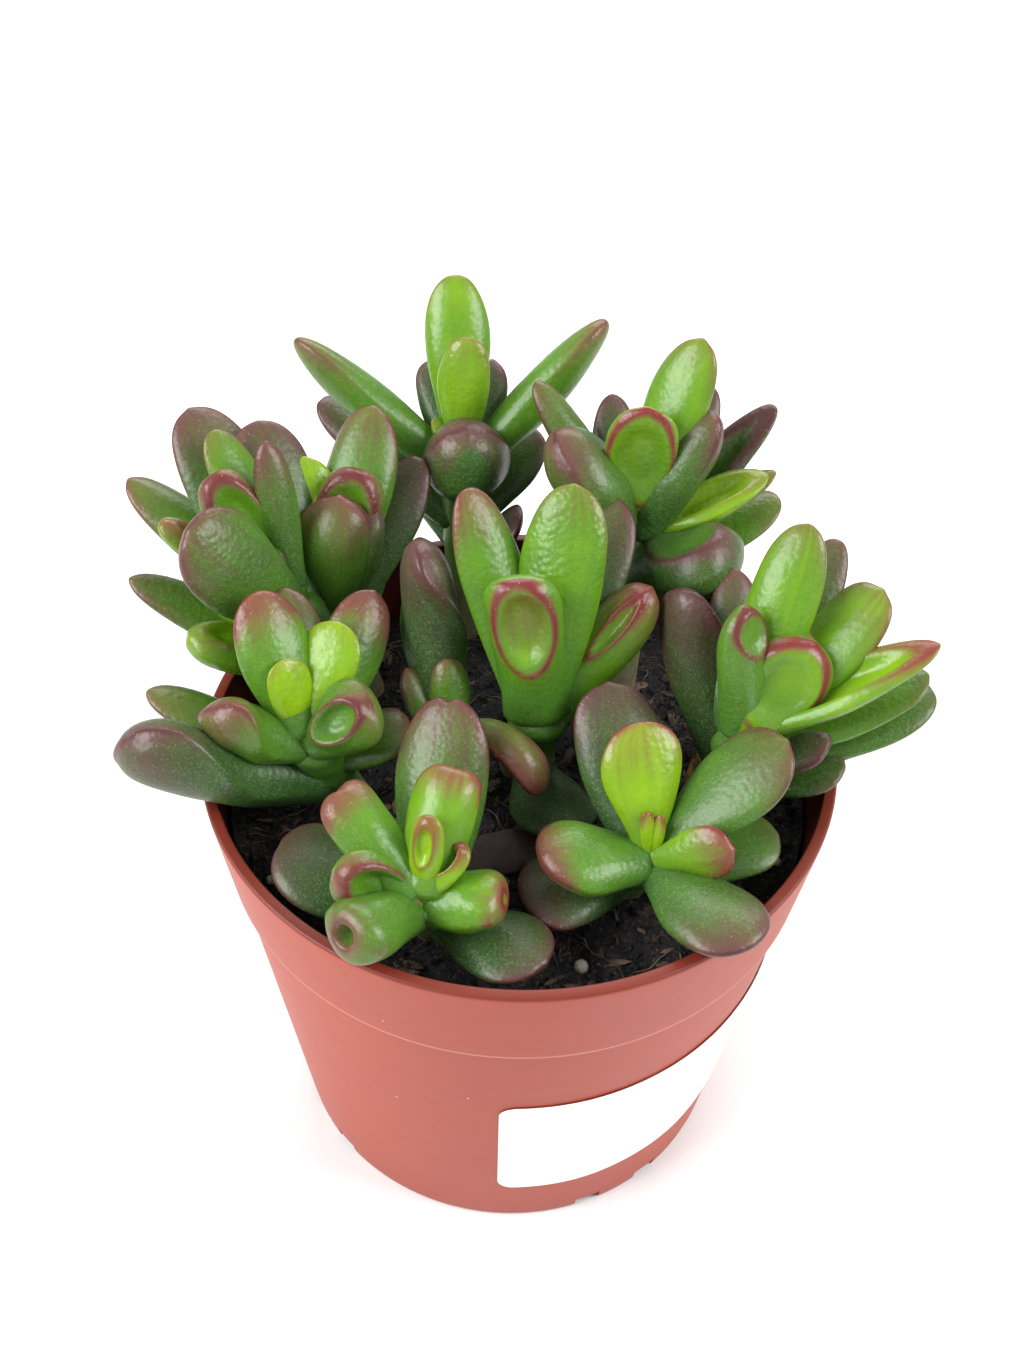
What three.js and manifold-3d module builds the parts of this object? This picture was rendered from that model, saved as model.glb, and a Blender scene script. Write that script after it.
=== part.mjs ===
// Hobbit jade, a small succulent with plump spoon and trumpet leaves, in a terracotta-coloured
// plastic nursery pot. Millimetres, +Z up, the pot stands on z = 0 with its axis on the z axis,
// and -Y is the front. Turns are degrees round the z axis, 0 towards +X and 90 towards the back.

import * as THREE from "three";
import { mergeVertices } from "three/addons/utils/BufferGeometryUtils.js";
import Module from "manifold-3d";

const wasm = await Module();
wasm.setup();

// Pot: a 4 inch nursery pot, 3 1/4 inches tall, with a plain band under its rim.
const POT_HEIGHT = 82.6;
const RIM_RADIUS = 50.8;
const BAND_RADIUS = 47.9;
const BAND_BOTTOM = 63.8;
const BAND_STEP = 0.8;
const FOOT_RADIUS = 37.8;
const FOOT_ROUND = 0.9;
const WALL = 1.5;
const FLOOR = 1.8;
const RIM_FLAT = 1.2;
const RIM_ROUND = 0.5;
const POT_SIDES = 40;

// Drain notches: four pairs in the corner between the wall and the floor.
const NOTCH_PAIRS = [-58, 32, 122, 212];
const NOTCH_APART = 18;
const NOTCH_WIDE = 4.6;
const NOTCH_TALL = 2.8;
const NOTCH_DEEP = 3.4;

// Label: plain white paper, 2 1/4 by 1 1/4 inches, stuck round the front right of the pot.
const LABEL_WIDE = 57;
const LABEL_TALL = 32;
const LABEL_CORNER = 3;
const LABEL_THICK = 0.6;
const LABEL_MIDDLE_Z = 30;
const LABEL_MIDDLE_TURN = 37;
const LABEL_TILT = 2.5;

// Soil: fills the pot up to a rough, slightly heaped top.
const SOIL_TOP = 71;
const SOIL_HEAP = 1.2;
const SOIL_LUMPS = [0.45, 0.35];
const SOIL_RINGS = [39, 30, 20, 10];
const ROOT_DEPTH = 11;

// Each stem's radius over its stated one, at its root, at six tenths of its height and at its tip.
const STEM_TAPER = [1.05, 0.95, 0.7];

// Touching pieces keep this gap.
const GAP = 0.3;

const LEAF_SIDES = 8;
const SMALL_LEAF_SIDES = 6;
const STEM_SIDES = 8;

// A leaf is a stalkless paddle: a rounded wall from its base to its rim, a narrow rim, and a face
// on the upper side that bulges or dishes. Shares are of the leaf's length or width.
//   thick  greatest thickness over greatest width      face   where the face starts
//   dish   depth of the face, negative when it bulges   rim    radius of the rounded rim
//   neck   width at the base                            peak   where the leaf is widest
//   endWide, endThick  width and thickness left at the tip
//   blunt  over 1 squares off the tip                   keel   how far the sides fold up
const FORMS = {
  spoon: {
    thick: 0.52, face: 0.1, dish: -1.3, rim: 0.5, neck: 0.34,
    peak: 0.68, endWide: 0.74, endThick: 0.45, blunt: 1.3, keel: 0,
  },
  tongue: {
    thick: 0.66, face: 0.12, dish: -1.4, rim: 0.55, neck: 0.52,
    peak: 0.58, endWide: 0.7, endThick: 0.5, blunt: 1.4, keel: 0,
  },
  finger: {
    thick: 0.86, face: 0.4, dish: -0.8, rim: 0.8, neck: 0.66,
    peak: 0.6, endWide: 0.78, endThick: 0.62, blunt: 1.5, keel: 0,
  },
  trumpet: {
    thick: 0.92, face: 0.74, dish: 2.4, rim: 0.9, neck: 0.6,
    peak: 0.92, endWide: 1, endThick: 0.9, blunt: 1, keel: 0,
  },
  scoop: {
    thick: 0.66, face: 0.3, dish: 1.3, rim: 0.7, neck: 0.48,
    peak: 0.7, endWide: 0.82, endThick: 0.6, blunt: 1.3, keel: 0,
  },
  boat: {
    thick: 0.55, face: 0.15, dish: 0.9, rim: 0.5, neck: 0.45,
    peak: 0.55, endWide: 0.62, endThick: 0.5, blunt: 1.2, keel: 1,
  },
};

// Leafy stems. root is where the stem leaves the soil, tip is its growing point. Each leaf row is
// form, share of the way up the stem, turn, rise over level, length, width, and what differs from
// its form; roll turns the face round the leaf's own length, and bend curls it towards its face.
const SHOOTS = {
  shoot_front_right: {
    root: [17, -20], tip: [20, -25.5, 84], thick: 6.5, leaves: [
      ["spoon", 1.0, 102, 53, 21, 12, {}],
      ["scoop", 1.0, -18, 32, 13, 7, {}],
      ["tongue", 0.9, -166, 19, 18, 13, {}],
      ["spoon", 0.9, 25, 40, 28, 14, {}],
      ["spoon", 0.6, 14, 9, 22, 13, {}],
      ["spoon", 0.85, -52, 12, 24, 14, {}],
      ["spoon", 0.4, -155, 8, 19, 14, {}],
      ["spoon", 0.6, 103, 39, 29, 14, {}],
      ["finger", 1.0, 115, 56, 7, 1.8, {}],
      ["finger", 1.0, 70, 56, 6, 1.8, {}],
    ],
  },
  shoot_front_left: {
    root: [-12, -29], tip: [-14, -36, 86], thick: 6.5, leaves: [
      ["finger", 1.0, 140, 34, 20, 9.5, { notch: 0.5, blunt: 1.9, face: 0.45 }],
      ["finger", 1.0, 72, 41, 20, 10, { notch: 0.5, blunt: 1.9, face: 0.45 }],
      ["scoop", 1.0, 69, 70, 14, 5, {}],
      ["scoop", 1.0, 29, 45, 11, 5, {}],
      ["scoop", 0.9, -170, 24, 12, 8, { bend: -50 }],
      ["trumpet", 0.7, -132, 27, 18, 10.5, {}],
      ["finger", 0.8, -9, 19, 13, 10, { blunt: 2 }],
      ["spoon", 0.4, 163, 15, 25, 16, {}],
      ["spoon", 0.3, -33, 12, 21, 13, {}],
      ["tongue", 0.4, 86, 40, 33, 13, { bend: 10 }],
    ],
  },
  shoot_left_low: {
    root: [-26, -5], tip: [-33, -10, 91], thick: 7, leaves: [
      ["tongue", 1.0, 122, 52, 24, 11, {}],
      ["tongue", 0.9, 104, 38, 25, 10, {}],
      ["spoon", 1.0, 127, 69, 14, 7, {}],
      ["spoon", 1.0, 68, 49, 19, 10, {}],
      ["tongue", 0.9, 64, 38, 26, 9.5, {}],
      ["tongue", 0.6, 168, 19, 30, 8, {}],
      ["scoop", 0.9, -167, 29, 18, 10, { bend: 30 }],
      ["tongue", 0.8, 171, 33, 15, 5, {}],
      ["scoop", 0.95, 6, 37, 14, 11, { bend: 30 }],
      ["spoon", 0.6, 23, 24, 15, 10, {}],
      ["scoop", 0.45, -160, 23, 36, 14.5, { thick: 0.8, roll: 20, bend: 20 }],
    ],
  },
  shoot_centre: {
    root: [1, 4], tip: [3, -1, 90], thick: 8, leaves: [
      ["tongue", 0.9, 125, 55, 38, 10.5, {}],
      ["spoon", 1.0, 78, 59, 36, 13, { thick: 0.62, neck: 0.5 }],
      ["spoon", 0.8, 67, 39, 38, 12, {}],
      ["trumpet", 1.0, 138, 79, 25, 11, { face: 0.4, dish: 2.2, thick: 0.8 }],
      ["tongue", 1.0, 60, 55, 16, 7, {}],
      ["scoop", 0.8, 35, 42, 28, 9, {}],
      ["spoon", 0.2, -72, 11, 21, 13, {}],
    ],
  },
  shoot_right: {
    root: [35, -3], tip: [33.5, -8, 93], thick: 7.5, leaves: [
      ["tongue", 1.0, 64, 55, 34, 10.5, {}],
      ["tongue", 0.7, 59, 39, 38, 8.5, {}],
      ["tongue", 0.9, 32, 41, 33, 10, {}],
      ["boat", 1.0, 7, 32, 33, 9.5, {}],
      ["spoon", 0.7, 14, 23, 32, 10, {}],
      ["spoon", 0.5, 18, 17, 34, 13, {}],
      ["scoop", 1.0, 28, 53, 19, 13, {}],
      ["spoon", 1.0, 43, 48, 19, 11, {}],
      ["finger", 1.0, 99, 73, 22, 8.5, {}],
      ["tongue", 0.6, 93, 41, 31, 9, {}],
      ["finger", 0.3, 118, 49, 34, 8.5, { bend: 10 }],
      ["spoon", 0.6, -9, 33, 16, 10, {}],
      ["spoon", 0.4, -12, 24, 18, 10, {}],
      ["spoon", 0.6, 45, 12, 28, 11, {}],
    ],
  },
  shoot_inner: {
    root: [-9, -7], tip: [-10, -3, 85], thick: 6, leaves: [
      ["scoop", 0.9, 112, 48, 34, 10, { bend: 10 }],
      ["finger", 0.5, 135, 49, 20, 6, {}],
      ["finger", 0.9, 105, 50, 15, 6.5, {}],
      ["finger", 1.0, -35, 17, 17, 8, { bend: -55 }],
    ],
  },
  shoot_left_inner: {
    root: [-27, 21], tip: [-32, 20, 92], thick: 7, leaves: [
      ["tongue", 1.0, 73, 46, 33, 12, {}],
      ["spoon", 1.0, 88, 63, 21, 9.5, {}],
      ["tongue", 1.0, 72, 60, 21, 6, {}],
      ["scoop", 0.95, 77, 45, 24, 11, {}],
      ["tongue", 0.9, 77, 74, 21, 12.5, {}],
      ["scoop", 0.9, 58, 58, 20, 12, { roll: -25 }],
      ["tongue", 0.7, 59, 41, 32, 9.5, {}],
      ["spoon", 0.5, 88, 22, 24, 11, {}],
    ],
  },
  shoot_left: {
    root: [-28, 13], tip: [-36.5, 16, 98], thick: 7, leaves: [
      ["spoon", 0.8, 132, 39, 39, 14.5, {}],
      ["spoon", 0.85, 113, 43, 32, 13, {}],
      ["tongue", 0.95, 135, 48, 30, 8.5, {}],
      ["finger", 1.0, 117, 67, 25, 7, {}],
      ["tongue", 0.7, 152, 27, 39, 10, {}],
      ["scoop", 0.8, -176, 44, 30, 7, {}],
      ["scoop", 0.95, 152, 46, 25, 9.5, {}],
      ["spoon", 0.8, -151, 54, 31, 15, {}],
      ["tongue", 0.4, 172, 25, 36, 9, {}],
      ["scoop", 0.5, -157, 28, 25, 10, {}],
      ["scoop", 0.7, -165, 36, 19, 9, {}],
      ["spoon", 0.45, 140, 15, 30, 12, {}],
    ],
  },
  shoot_back_right: {
    root: [16, 23], tip: [18, 31, 103], thick: 7, leaves: [
      ["tongue", 1.0, 54, 61, 31, 11, {}],
      ["spoon", 1.0, 84, 84, 21, 11.5, { thick: 0.5, dish: 0.5 }],
      ["finger", 0.9, 26, 58, 25, 9.5, {}],
      ["tongue", 0.8, 59, 42, 31, 9, {}],
      ["boat", 0.7, 40, 35, 37, 8.5, {}],
      ["finger", 0.9, 139, 42, 30, 6.5, {}],
      ["tongue", 0.7, 100, 43, 30, 8, {}],
      ["scoop", 0.9, 164, 51, 23, 13, { roll: 20 }],
      ["boat", 0.9, 12, 25, 24, 9, {}],
      ["tongue", 0.8, 20, 26, 27, 6, {}],
      ["spoon", 0.6, 25, 23, 30, 10, {}],
      ["scoop", 0.7, -30, 34, 22, 16, { thick: 0.75 }],
      ["spoon", 0.5, 111, 34, 28, 9, {}],
      ["spoon", 0.5, 72, 14, 32, 12, {}],
    ],
  },
  shoot_back: {
    root: [-9.5, 37], tip: [-11.5, 47, 104], thick: 6.5, leaves: [
      ["tongue", 1.0, 95, 53, 29, 10.5, { bend: 6 }],
      ["tongue", 1.0, 82, 76, 20, 8.5, {}],
      ["spoon", 0.75, -75, 79, 17, 14.5,
        { thick: 0.92, blunt: 1.7, endThick: 0.9, dish: -2.5, bend: 10 }],
      ["finger", 0.85, 161, 34, 36, 9, { roll: 50 }],
      ["finger", 0.85, 31, 40, 36, 9, { roll: -50 }],
      ["tongue", 0.9, 111, 33, 20, 8, {}],
      ["tongue", 0.9, 73, 33, 20, 8, {}],
      ["tongue", 1.0, 173, 47, 7, 5, {}],
      ["spoon", 0.35, 2, 54, 16, 9, {}],
      ["spoon", 0.55, 50, 34, 22, 10, {}],
      ["tongue", 0.6, 150, 27, 33, 10, {}],
      ["spoon", 0.45, 84, 10, 28, 12, {}],
      ["tongue", 0.45, 122, 26, 26, 9, {}],
    ],
  },
};

// Loose pieces on the soil: one shed leaf, dried brown, and a slab of bark.
const FALLEN_LEAF = { at: [28, -6, 73.8], turn: 68, rise: 28, long: 11, wide: 6 };
const BARK = { at: [-4, -17, 73.2], turn: 8, long: 19, wide: 8, thick: 2.4, tilt: 10 };

const rad = THREE.MathUtils.degToRad;

// A closed solid from a mesh whose shared points are merged.
function solidOf(geometry, nearest = 1e-4) {
  const bare = geometry.index ? geometry.toNonIndexed() : geometry.clone();
  bare.deleteAttribute("normal");
  bare.deleteAttribute("uv");
  const merged = mergeVertices(bare, nearest);
  const index = merged.index.array;
  const kept = [];
  for (let i = 0; i < index.length; i += 3) {
    const [a, b, c] = [index[i], index[i + 1], index[i + 2]];
    if (a !== b && b !== c && c !== a) kept.push(a, b, c);
  }
  return new wasm.Manifold(new wasm.Mesh({
    numProp: 3,
    vertProperties: new Float32Array(merged.attributes.position.array),
    triVerts: new Uint32Array(kept),
  }));
}

// A closed solid through rings of equally many points, between a first and a last point.
function solidThrough(first, rings, last) {
  const sides = rings[0].length;
  const points = [first, ...rings.flat(), last];
  const at = (ring, side) => 1 + ring * sides + (side % sides);
  const tris = [];
  for (let s = 0; s < sides; s += 1) {
    tris.push(0, at(0, s + 1), at(0, s));
    for (let r = 0; r < rings.length - 1; r += 1) {
      tris.push(at(r, s), at(r, s + 1), at(r + 1, s + 1));
      tris.push(at(r, s), at(r + 1, s + 1), at(r + 1, s));
    }
    tris.push(at(rings.length - 1, s), at(rings.length - 1, s + 1), points.length - 1);
  }
  const geometry = new THREE.BufferGeometry();
  geometry.setAttribute("position", new THREE.Float32BufferAttribute(points.flatMap((p) => p.toArray()), 3));
  geometry.setIndex(tris);
  return solidOf(geometry);
}

function geometryOf(solid) {
  const mesh = solid.getMesh();
  const geometry = new THREE.BufferGeometry();
  geometry.setAttribute("position", new THREE.BufferAttribute(new Float32Array(mesh.vertProperties), 3));
  geometry.setIndex(new THREE.BufferAttribute(new Uint32Array(mesh.triVerts), 1));
  return geometry;
}

// Drops the loose scraps that cutting leaves, and joins points a hair apart.
function largestPiece(solid) {
  const largest = (whole) => {
    const pieces = whole.decompose();
    return pieces.reduce((best, piece) => (piece.volume() > best.volume() ? piece : best));
  };
  return largest(solidOf(geometryOf(largest(solid)), 2e-3));
}

// Smooth step from 0 to 1.
function ease(t) {
  const k = THREE.MathUtils.clamp(t, 0, 1);
  return k * k * (3 - 2 * k);
}

// One leaf in its own frame: x across, y towards the face, z along. Each ring of the wall is an
// ellipse's outline that runs out to the rim; the rim is one chamfer; the face is a low cone.
function leafRings(long, wide, form, sides, swell) {
  const width = wide + 2 * swell;
  const thick = wide * form.thick + 2 * swell;
  const length = long + 2 * swell;
  const neckThick = Math.min(1, (form.neck * width) / thick) * 0.95;
  const halfWide = (z) => {
    const t = z / length;
    const end = Math.max(0, (t - form.peak) / (1 - form.peak));
    const share = t < form.peak
      ? form.neck + (1 - form.neck) * ease(t / form.peak)
      : 1 - (1 - form.endWide) * end * end;
    return (width / 2) * share;
  };
  const halfThick = (z) => {
    const t = z / length;
    const end = Math.max(0, (t - 0.45) / 0.55);
    const share = t < 0.45
      ? neckThick + (1 - neckThick) * ease(t / 0.45)
      : 1 - (1 - form.endThick) * end * end;
    return (thick / 2) * share;
  };
  const around = Array.from({ length: sides }, (_, i) => (2 * Math.PI * i) / sides);
  const rimAt = around.map((a) => {
    const back = ((1 - Math.cos(a)) / 2) ** form.blunt;
    const near = Math.min(a, 2 * Math.PI - a) / 0.5;
    return length * (1 - (1 - form.face) * back) - (form.notch ?? 0) * Math.exp(-near * near);
  });
  const rings = [];
  for (const share of [0.36, 0.72, 1]) {
    rings.push(around.map((a, i) => {
      const z = rimAt[i] * share;
      return new THREE.Vector3(halfWide(z) * Math.sin(a), -halfThick(z) * Math.cos(a), z);
    }));
  }
  const low = new THREE.Vector3(0, halfThick(form.face * length), form.face * length);
  const high = new THREE.Vector3(0, -halfThick(length), length);
  const slope = high.clone().sub(low);
  const halfLong = slope.length() / 2;
  slope.normalize();
  const normal = new THREE.Vector3(0, slope.z, -slope.y);
  const across = halfWide(length * (1 - (1 - form.face) / 2));
  const turnIn = Math.PI / 2 + Math.atan2(2 * form.dish, across);
  rings.push(around.map((a, i) => {
    const out = slope.clone().multiplyScalar(Math.cos(a) / halfLong);
    out.x = Math.sin(a) / across;
    out.normalize();
    return rings[2][i].clone()
      .addScaledVector(out, form.rim * (Math.cos(turnIn) - 1))
      .addScaledVector(normal, form.rim * Math.sin(turnIn));
  }));
  const middle = new THREE.Vector3();
  rings[3].forEach((p) => middle.addScaledVector(p, 1 / sides));
  const centre = middle.addScaledVector(normal, -form.dish);
  return { first: new THREE.Vector3(0, 0, -swell), rings, last: centre };
}

// Folds the sides up, curls the leaf over the last four fifths of its length, and stands it at
// its place on the stem.
function leafSolid(base, row, swell) {
  const [name, , turn, rise, long, wide, changes] = row;
  const form = { ...FORMS[name], ...changes };
  const sides = long * wide < 90 ? SMALL_LEAF_SIDES : LEAF_SIDES;
  const { first, rings, last } = leafRings(long, wide, form, sides, swell);
  const curl = rad(form.bend ?? 0);
  const straight = 0.2 * long;
  const radius = (long - straight) / (curl || 1);
  const along = new THREE.Vector3();
  const level = new THREE.Vector3(Math.cos(rad(turn)), Math.sin(rad(turn)), 0);
  const up = new THREE.Vector3(0, 0, 1);
  along.addScaledVector(level, Math.cos(rad(rise))).addScaledVector(up, Math.sin(rad(rise)));
  const facing = new THREE.Vector3();
  facing.addScaledVector(level, -Math.sin(rad(rise))).addScaledVector(up, Math.cos(rad(rise)));
  facing.applyAxisAngle(along, rad(form.roll ?? 0));
  const side = new THREE.Vector3().crossVectors(facing, along);
  const frame = new THREE.Matrix4().makeBasis(side, facing, along).setPosition(base);
  const place = (p) => {
    const moved = p.clone();
    moved.y += form.keel * ((2 * p.x) / wide) ** 2;
    if (curl !== 0 && p.z > straight) {
      const angle = (curl * (p.z - straight)) / (long - straight);
      const y = moved.y;
      moved.y = radius * (1 - Math.cos(angle)) + y * Math.cos(angle);
      moved.z = straight + radius * Math.sin(angle) - y * Math.sin(angle);
    }
    return moved.applyMatrix4(frame);
  };
  return solidThrough(place(first), rings.map((ring) => ring.map(place)), place(last));
}

// A fleshy stem that stands ROOT_DEPTH deep in the soil and leans to its growing point.
function stemSolid(shoot, swell) {
  const root = new THREE.Vector3(shoot.root[0], shoot.root[1], SOIL_TOP);
  const tip = new THREE.Vector3(...shoot.tip);
  const deep = new THREE.Vector3(root.x, root.y, SOIL_TOP - ROOT_DEPTH - swell);
  const ring = (centre, share) => {
    const radius = (shoot.thick / 2) * share + swell;
    return Array.from({ length: STEM_SIDES }, (_, i) => {
      const a = (2 * Math.PI * i) / STEM_SIDES;
      const out = new THREE.Vector3(radius * Math.cos(a), radius * Math.sin(a), 0);
      return out.add(centre);
    });
  };
  const rings = [
    ring(deep, 1),
    ring(root, STEM_TAPER[0]),
    ring(root.clone().lerp(tip, 0.6), STEM_TAPER[1]),
    ring(tip, STEM_TAPER[2]),
  ];
  const top = tip.clone();
  top.z += 1 + swell;
  return solidThrough(deep, rings, top);
}

function shootSolid(shoot, swell) {
  const root = new THREE.Vector3(shoot.root[0], shoot.root[1], SOIL_TOP);
  const tip = new THREE.Vector3(...shoot.tip);
  const leaves = shoot.leaves.map((row) => leafSolid(root.clone().lerp(tip, row[1]), row, swell));
  return leaves.reduce((whole, leaf) => whole.add(leaf), stemSolid(shoot, swell));
}

function potRadius(z) {
  if (z < BAND_BOTTOM) return FOOT_RADIUS + ((BAND_RADIUS - BAND_STEP - FOOT_RADIUS) * z) / BAND_BOTTOM;
  return BAND_RADIUS + ((RIM_RADIUS - BAND_RADIUS) * (z - BAND_BOTTOM)) / (POT_HEIGHT - BAND_BOTTOM);
}

function potSolid() {
  const inner = (z) => potRadius(z) - WALL;
  const profile = [
    [0, 0],
    [FOOT_RADIUS - FOOT_ROUND, 0],
    [potRadius(FOOT_ROUND), FOOT_ROUND],
    [potRadius(LABEL_MIDDLE_Z), LABEL_MIDDLE_Z],
    [potRadius(BAND_BOTTOM - GAP), BAND_BOTTOM - GAP],
    [BAND_RADIUS, BAND_BOTTOM],
    // The rim: a rounded outer edge, a narrow flat top and a bevel down to the inner wall.
    [potRadius(POT_HEIGHT - 2 * RIM_ROUND), POT_HEIGHT - 2 * RIM_ROUND],
    [RIM_RADIUS - RIM_ROUND, POT_HEIGHT],
    [RIM_RADIUS - RIM_ROUND - RIM_FLAT, POT_HEIGHT],
    [RIM_RADIUS - RIM_ROUND - RIM_FLAT - 0.4, POT_HEIGHT - RIM_ROUND],
    [inner(POT_HEIGHT - 5 * RIM_ROUND), POT_HEIGHT - 5 * RIM_ROUND],
    // The inner wall widens past the band's step over two millimetres.
    [inner(BAND_BOTTOM + 1), BAND_BOTTOM + 1],
    [inner(BAND_BOTTOM - 1), BAND_BOTTOM - 1],
    [inner(LABEL_MIDDLE_Z), LABEL_MIDDLE_Z],
    [inner(FLOOR + 1), FLOOR + 1],
    [inner(FLOOR) - 1, FLOOR],
    [0, FLOOR],
  ].map(([r, z]) => new THREE.Vector2(r, z));
  const wall = new THREE.LatheGeometry(profile, POT_SIDES).rotateX(Math.PI / 2);
  let pot = solidOf(wall);
  for (const pair of NOTCH_PAIRS) {
    for (const side of [-0.5, 0.5]) {
      const turn = rad(pair + side * NOTCH_APART - 90);
      const notch = new THREE.BoxGeometry(2 * NOTCH_DEEP, NOTCH_WIDE, 2 * NOTCH_TALL)
        .translate(FOOT_RADIUS, 0, 0)
        .rotateZ(turn);
      pot = pot.subtract(solidOf(notch));
    }
  }
  return pot;
}

// The label follows the pot's taper. Its rows are shorter at its top and bottom, which rounds its
// corners, and it climbs a little to the right.
function labelSolid() {
  const columns = 12;
  const low = [0, 0.3, 1.1, LABEL_CORNER, LABEL_TALL / 2];
  const rows = [...low, ...low.slice(0, -1).reverse().map((row) => LABEL_TALL - row)];
  const point = (row, column, lift) => {
    const fromEdge = Math.min(row, LABEL_TALL - row, LABEL_CORNER);
    const inset = LABEL_CORNER - Math.sqrt(LABEL_CORNER ** 2 - (LABEL_CORNER - fromEdge) ** 2);
    const x = (LABEL_WIDE / 2 - inset) * ((2 * column) / columns - 1);
    const z = LABEL_MIDDLE_Z + row - LABEL_TALL / 2 + x * Math.tan(rad(LABEL_TILT));
    const radius = potRadius(z);
    const turn = rad(LABEL_MIDDLE_TURN - 90) + x / potRadius(LABEL_MIDDLE_Z);
    return new THREE.Vector3((radius + lift) * Math.cos(turn), (radius + lift) * Math.sin(turn), z);
  };
  const loops = rows.map((row) => {
    const out = Array.from({ length: columns + 1 }, (_, c) => point(row, c, GAP + LABEL_THICK));
    const back = Array.from({ length: columns + 1 }, (_, c) => point(row, columns - c, GAP));
    return [...out, ...back];
  });
  // The first and last loops close flat, from front row to back row.
  const size = 2 * (columns + 1);
  const points = loops.flat();
  const at = (row, i) => row * size + (i % size);
  const tris = [];
  for (let r = 0; r < rows.length - 1; r += 1) {
    for (let i = 0; i < size; i += 1) {
      tris.push(at(r, i), at(r, i + 1), at(r + 1, i + 1), at(r, i), at(r + 1, i + 1), at(r + 1, i));
    }
  }
  for (let i = 0; i < columns; i += 1) {
    const j = size - 1 - i;
    tris.push(at(0, i), at(0, j - 1), at(0, i + 1), at(0, i), at(0, j), at(0, j - 1));
    const last = rows.length - 1;
    tris.push(at(last, i), at(last, i + 1), at(last, j - 1), at(last, i), at(last, j - 1), at(last, j));
  }
  const geometry = new THREE.BufferGeometry();
  geometry.setAttribute("position", new THREE.Float32BufferAttribute(points.flatMap((p) => p.toArray()), 3));
  geometry.setIndex(tris);
  return solidOf(geometry);
}

// Soil: a plug inside the pot's wall whose top rolls gently, higher in the middle.
function soilSolid() {
  const inside = (z) => potRadius(z) - WALL - GAP;
  const height = (x, y) => {
    const share = Math.hypot(x, y) / RIM_RADIUS;
    const heap = SOIL_HEAP * (1 - 1.6 * share * share);
    const broad = SOIL_LUMPS[0] * Math.sin(0.33 * x + 1) * Math.cos(0.29 * y);
    const fine = SOIL_LUMPS[1] * Math.sin(0.71 * x + 0.52 * y + 2);
    return SOIL_TOP + heap + broad + fine;
  };
  const ring = (radius, level) => Array.from({ length: POT_SIDES }, (_, i) => {
    const a = (2 * Math.PI * i) / POT_SIDES;
    const [x, y] = [radius * Math.cos(a), radius * Math.sin(a)];
    return new THREE.Vector3(x, y, level ?? height(x, y));
  });
  const bottom = FLOOR + GAP;
  const rings = [
    ring(inside(FLOOR) - 1.3, bottom),
    ring(inside(FLOOR + 1.4), FLOOR + 1.4),
    ring(inside(BAND_BOTTOM - 1.2), BAND_BOTTOM - 1.2),
    ring(inside(BAND_BOTTOM + 0.8) - 0.1, BAND_BOTTOM + 0.8),
    ring(inside(SOIL_TOP - 2) - 0.1),
  ];
  for (const radius of SOIL_RINGS) rings.push(ring(radius));
  return solidThrough(new THREE.Vector3(0, 0, bottom), rings, new THREE.Vector3(0, 0, height(0, 0)));
}

// Bark: a slab that narrows and lifts towards its ends and is thinner at one side, with a long
// edge that wanders.
function barkSolid(swell) {
  const { at, turn, long, wide, thick, tilt } = BARK;
  const slab = new THREE.BoxGeometry(long + 2 * swell, wide + 2 * swell, thick + 2 * swell, 6, 3, 1);
  const p = slab.attributes.position;
  for (let i = 0; i < p.count; i += 1) {
    const [x, y, z] = [p.getX(i), p.getY(i), p.getZ(i)];
    const taper = 1 - 0.35 * ((2 * x) / long) ** 2;
    const lift = 0.012 * x * x;
    p.setXYZ(i, x + 0.8 * Math.sin(y), y * taper + 0.9 * Math.sin(0.35 * x), z * (1 - 0.05 * y) + lift);
  }
  slab.rotateX(rad(tilt)).rotateZ(rad(turn)).translate(...at);
  return solidOf(slab);
}

function fallenLeafSolid(swell) {
  const { at, turn, rise, long, wide } = FALLEN_LEAF;
  const row = ["scoop", 0, turn, rise, long, wide, { bend: 40, roll: 25, dish: 0.7 }];
  return leafSolid(new THREE.Vector3(...at), row, swell);
}

const plantGreen = new THREE.MeshStandardMaterial({ color: "#4f7a2a", roughness: 0.38, metalness: 0 });
const materials = {
  pot: new THREE.MeshStandardMaterial({ color: "#c47262", roughness: 0.45, metalness: 0 }),
  label: new THREE.MeshStandardMaterial({ color: "#f2f2f0", roughness: 0.6, metalness: 0 }),
  soil: new THREE.MeshStandardMaterial({ color: "#2a2322", roughness: 0.95, metalness: 0 }),
  bark_piece: new THREE.MeshStandardMaterial({ color: "#33272a", roughness: 0.9, metalness: 0 }),
  fallen_leaf: new THREE.MeshStandardMaterial({ color: "#8a6a2c", roughness: 0.6, metalness: 0 }),
};

const pot = new THREE.Group();

function addMesh(name, solid) {
  const geometry = geometryOf(solid);
  geometry.computeVertexNormals();
  const object = new THREE.Mesh(geometry, materials[name] ?? plantGreen);
  object.name = name;
  pot.add(object);
}

// Pieces are placed front to back. Each leafy stem is cut clear of what stands before it, and the
// soil is cut clear of all that stands or lies in it.
addMesh("pot", potSolid());
addMesh("label", labelSolid());
let placed = barkSolid(GAP).add(fallenLeafSolid(GAP));
addMesh("bark_piece", barkSolid(0));
addMesh("fallen_leaf", fallenLeafSolid(0));
for (const [name, shoot] of Object.entries(SHOOTS)) {
  addMesh(name, largestPiece(shootSolid(shoot, 0).subtract(placed)));
  placed = placed.add(shootSolid(shoot, GAP));
}
addMesh("soil", largestPiece(soilSolid().subtract(placed)));

export default pot;
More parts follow.
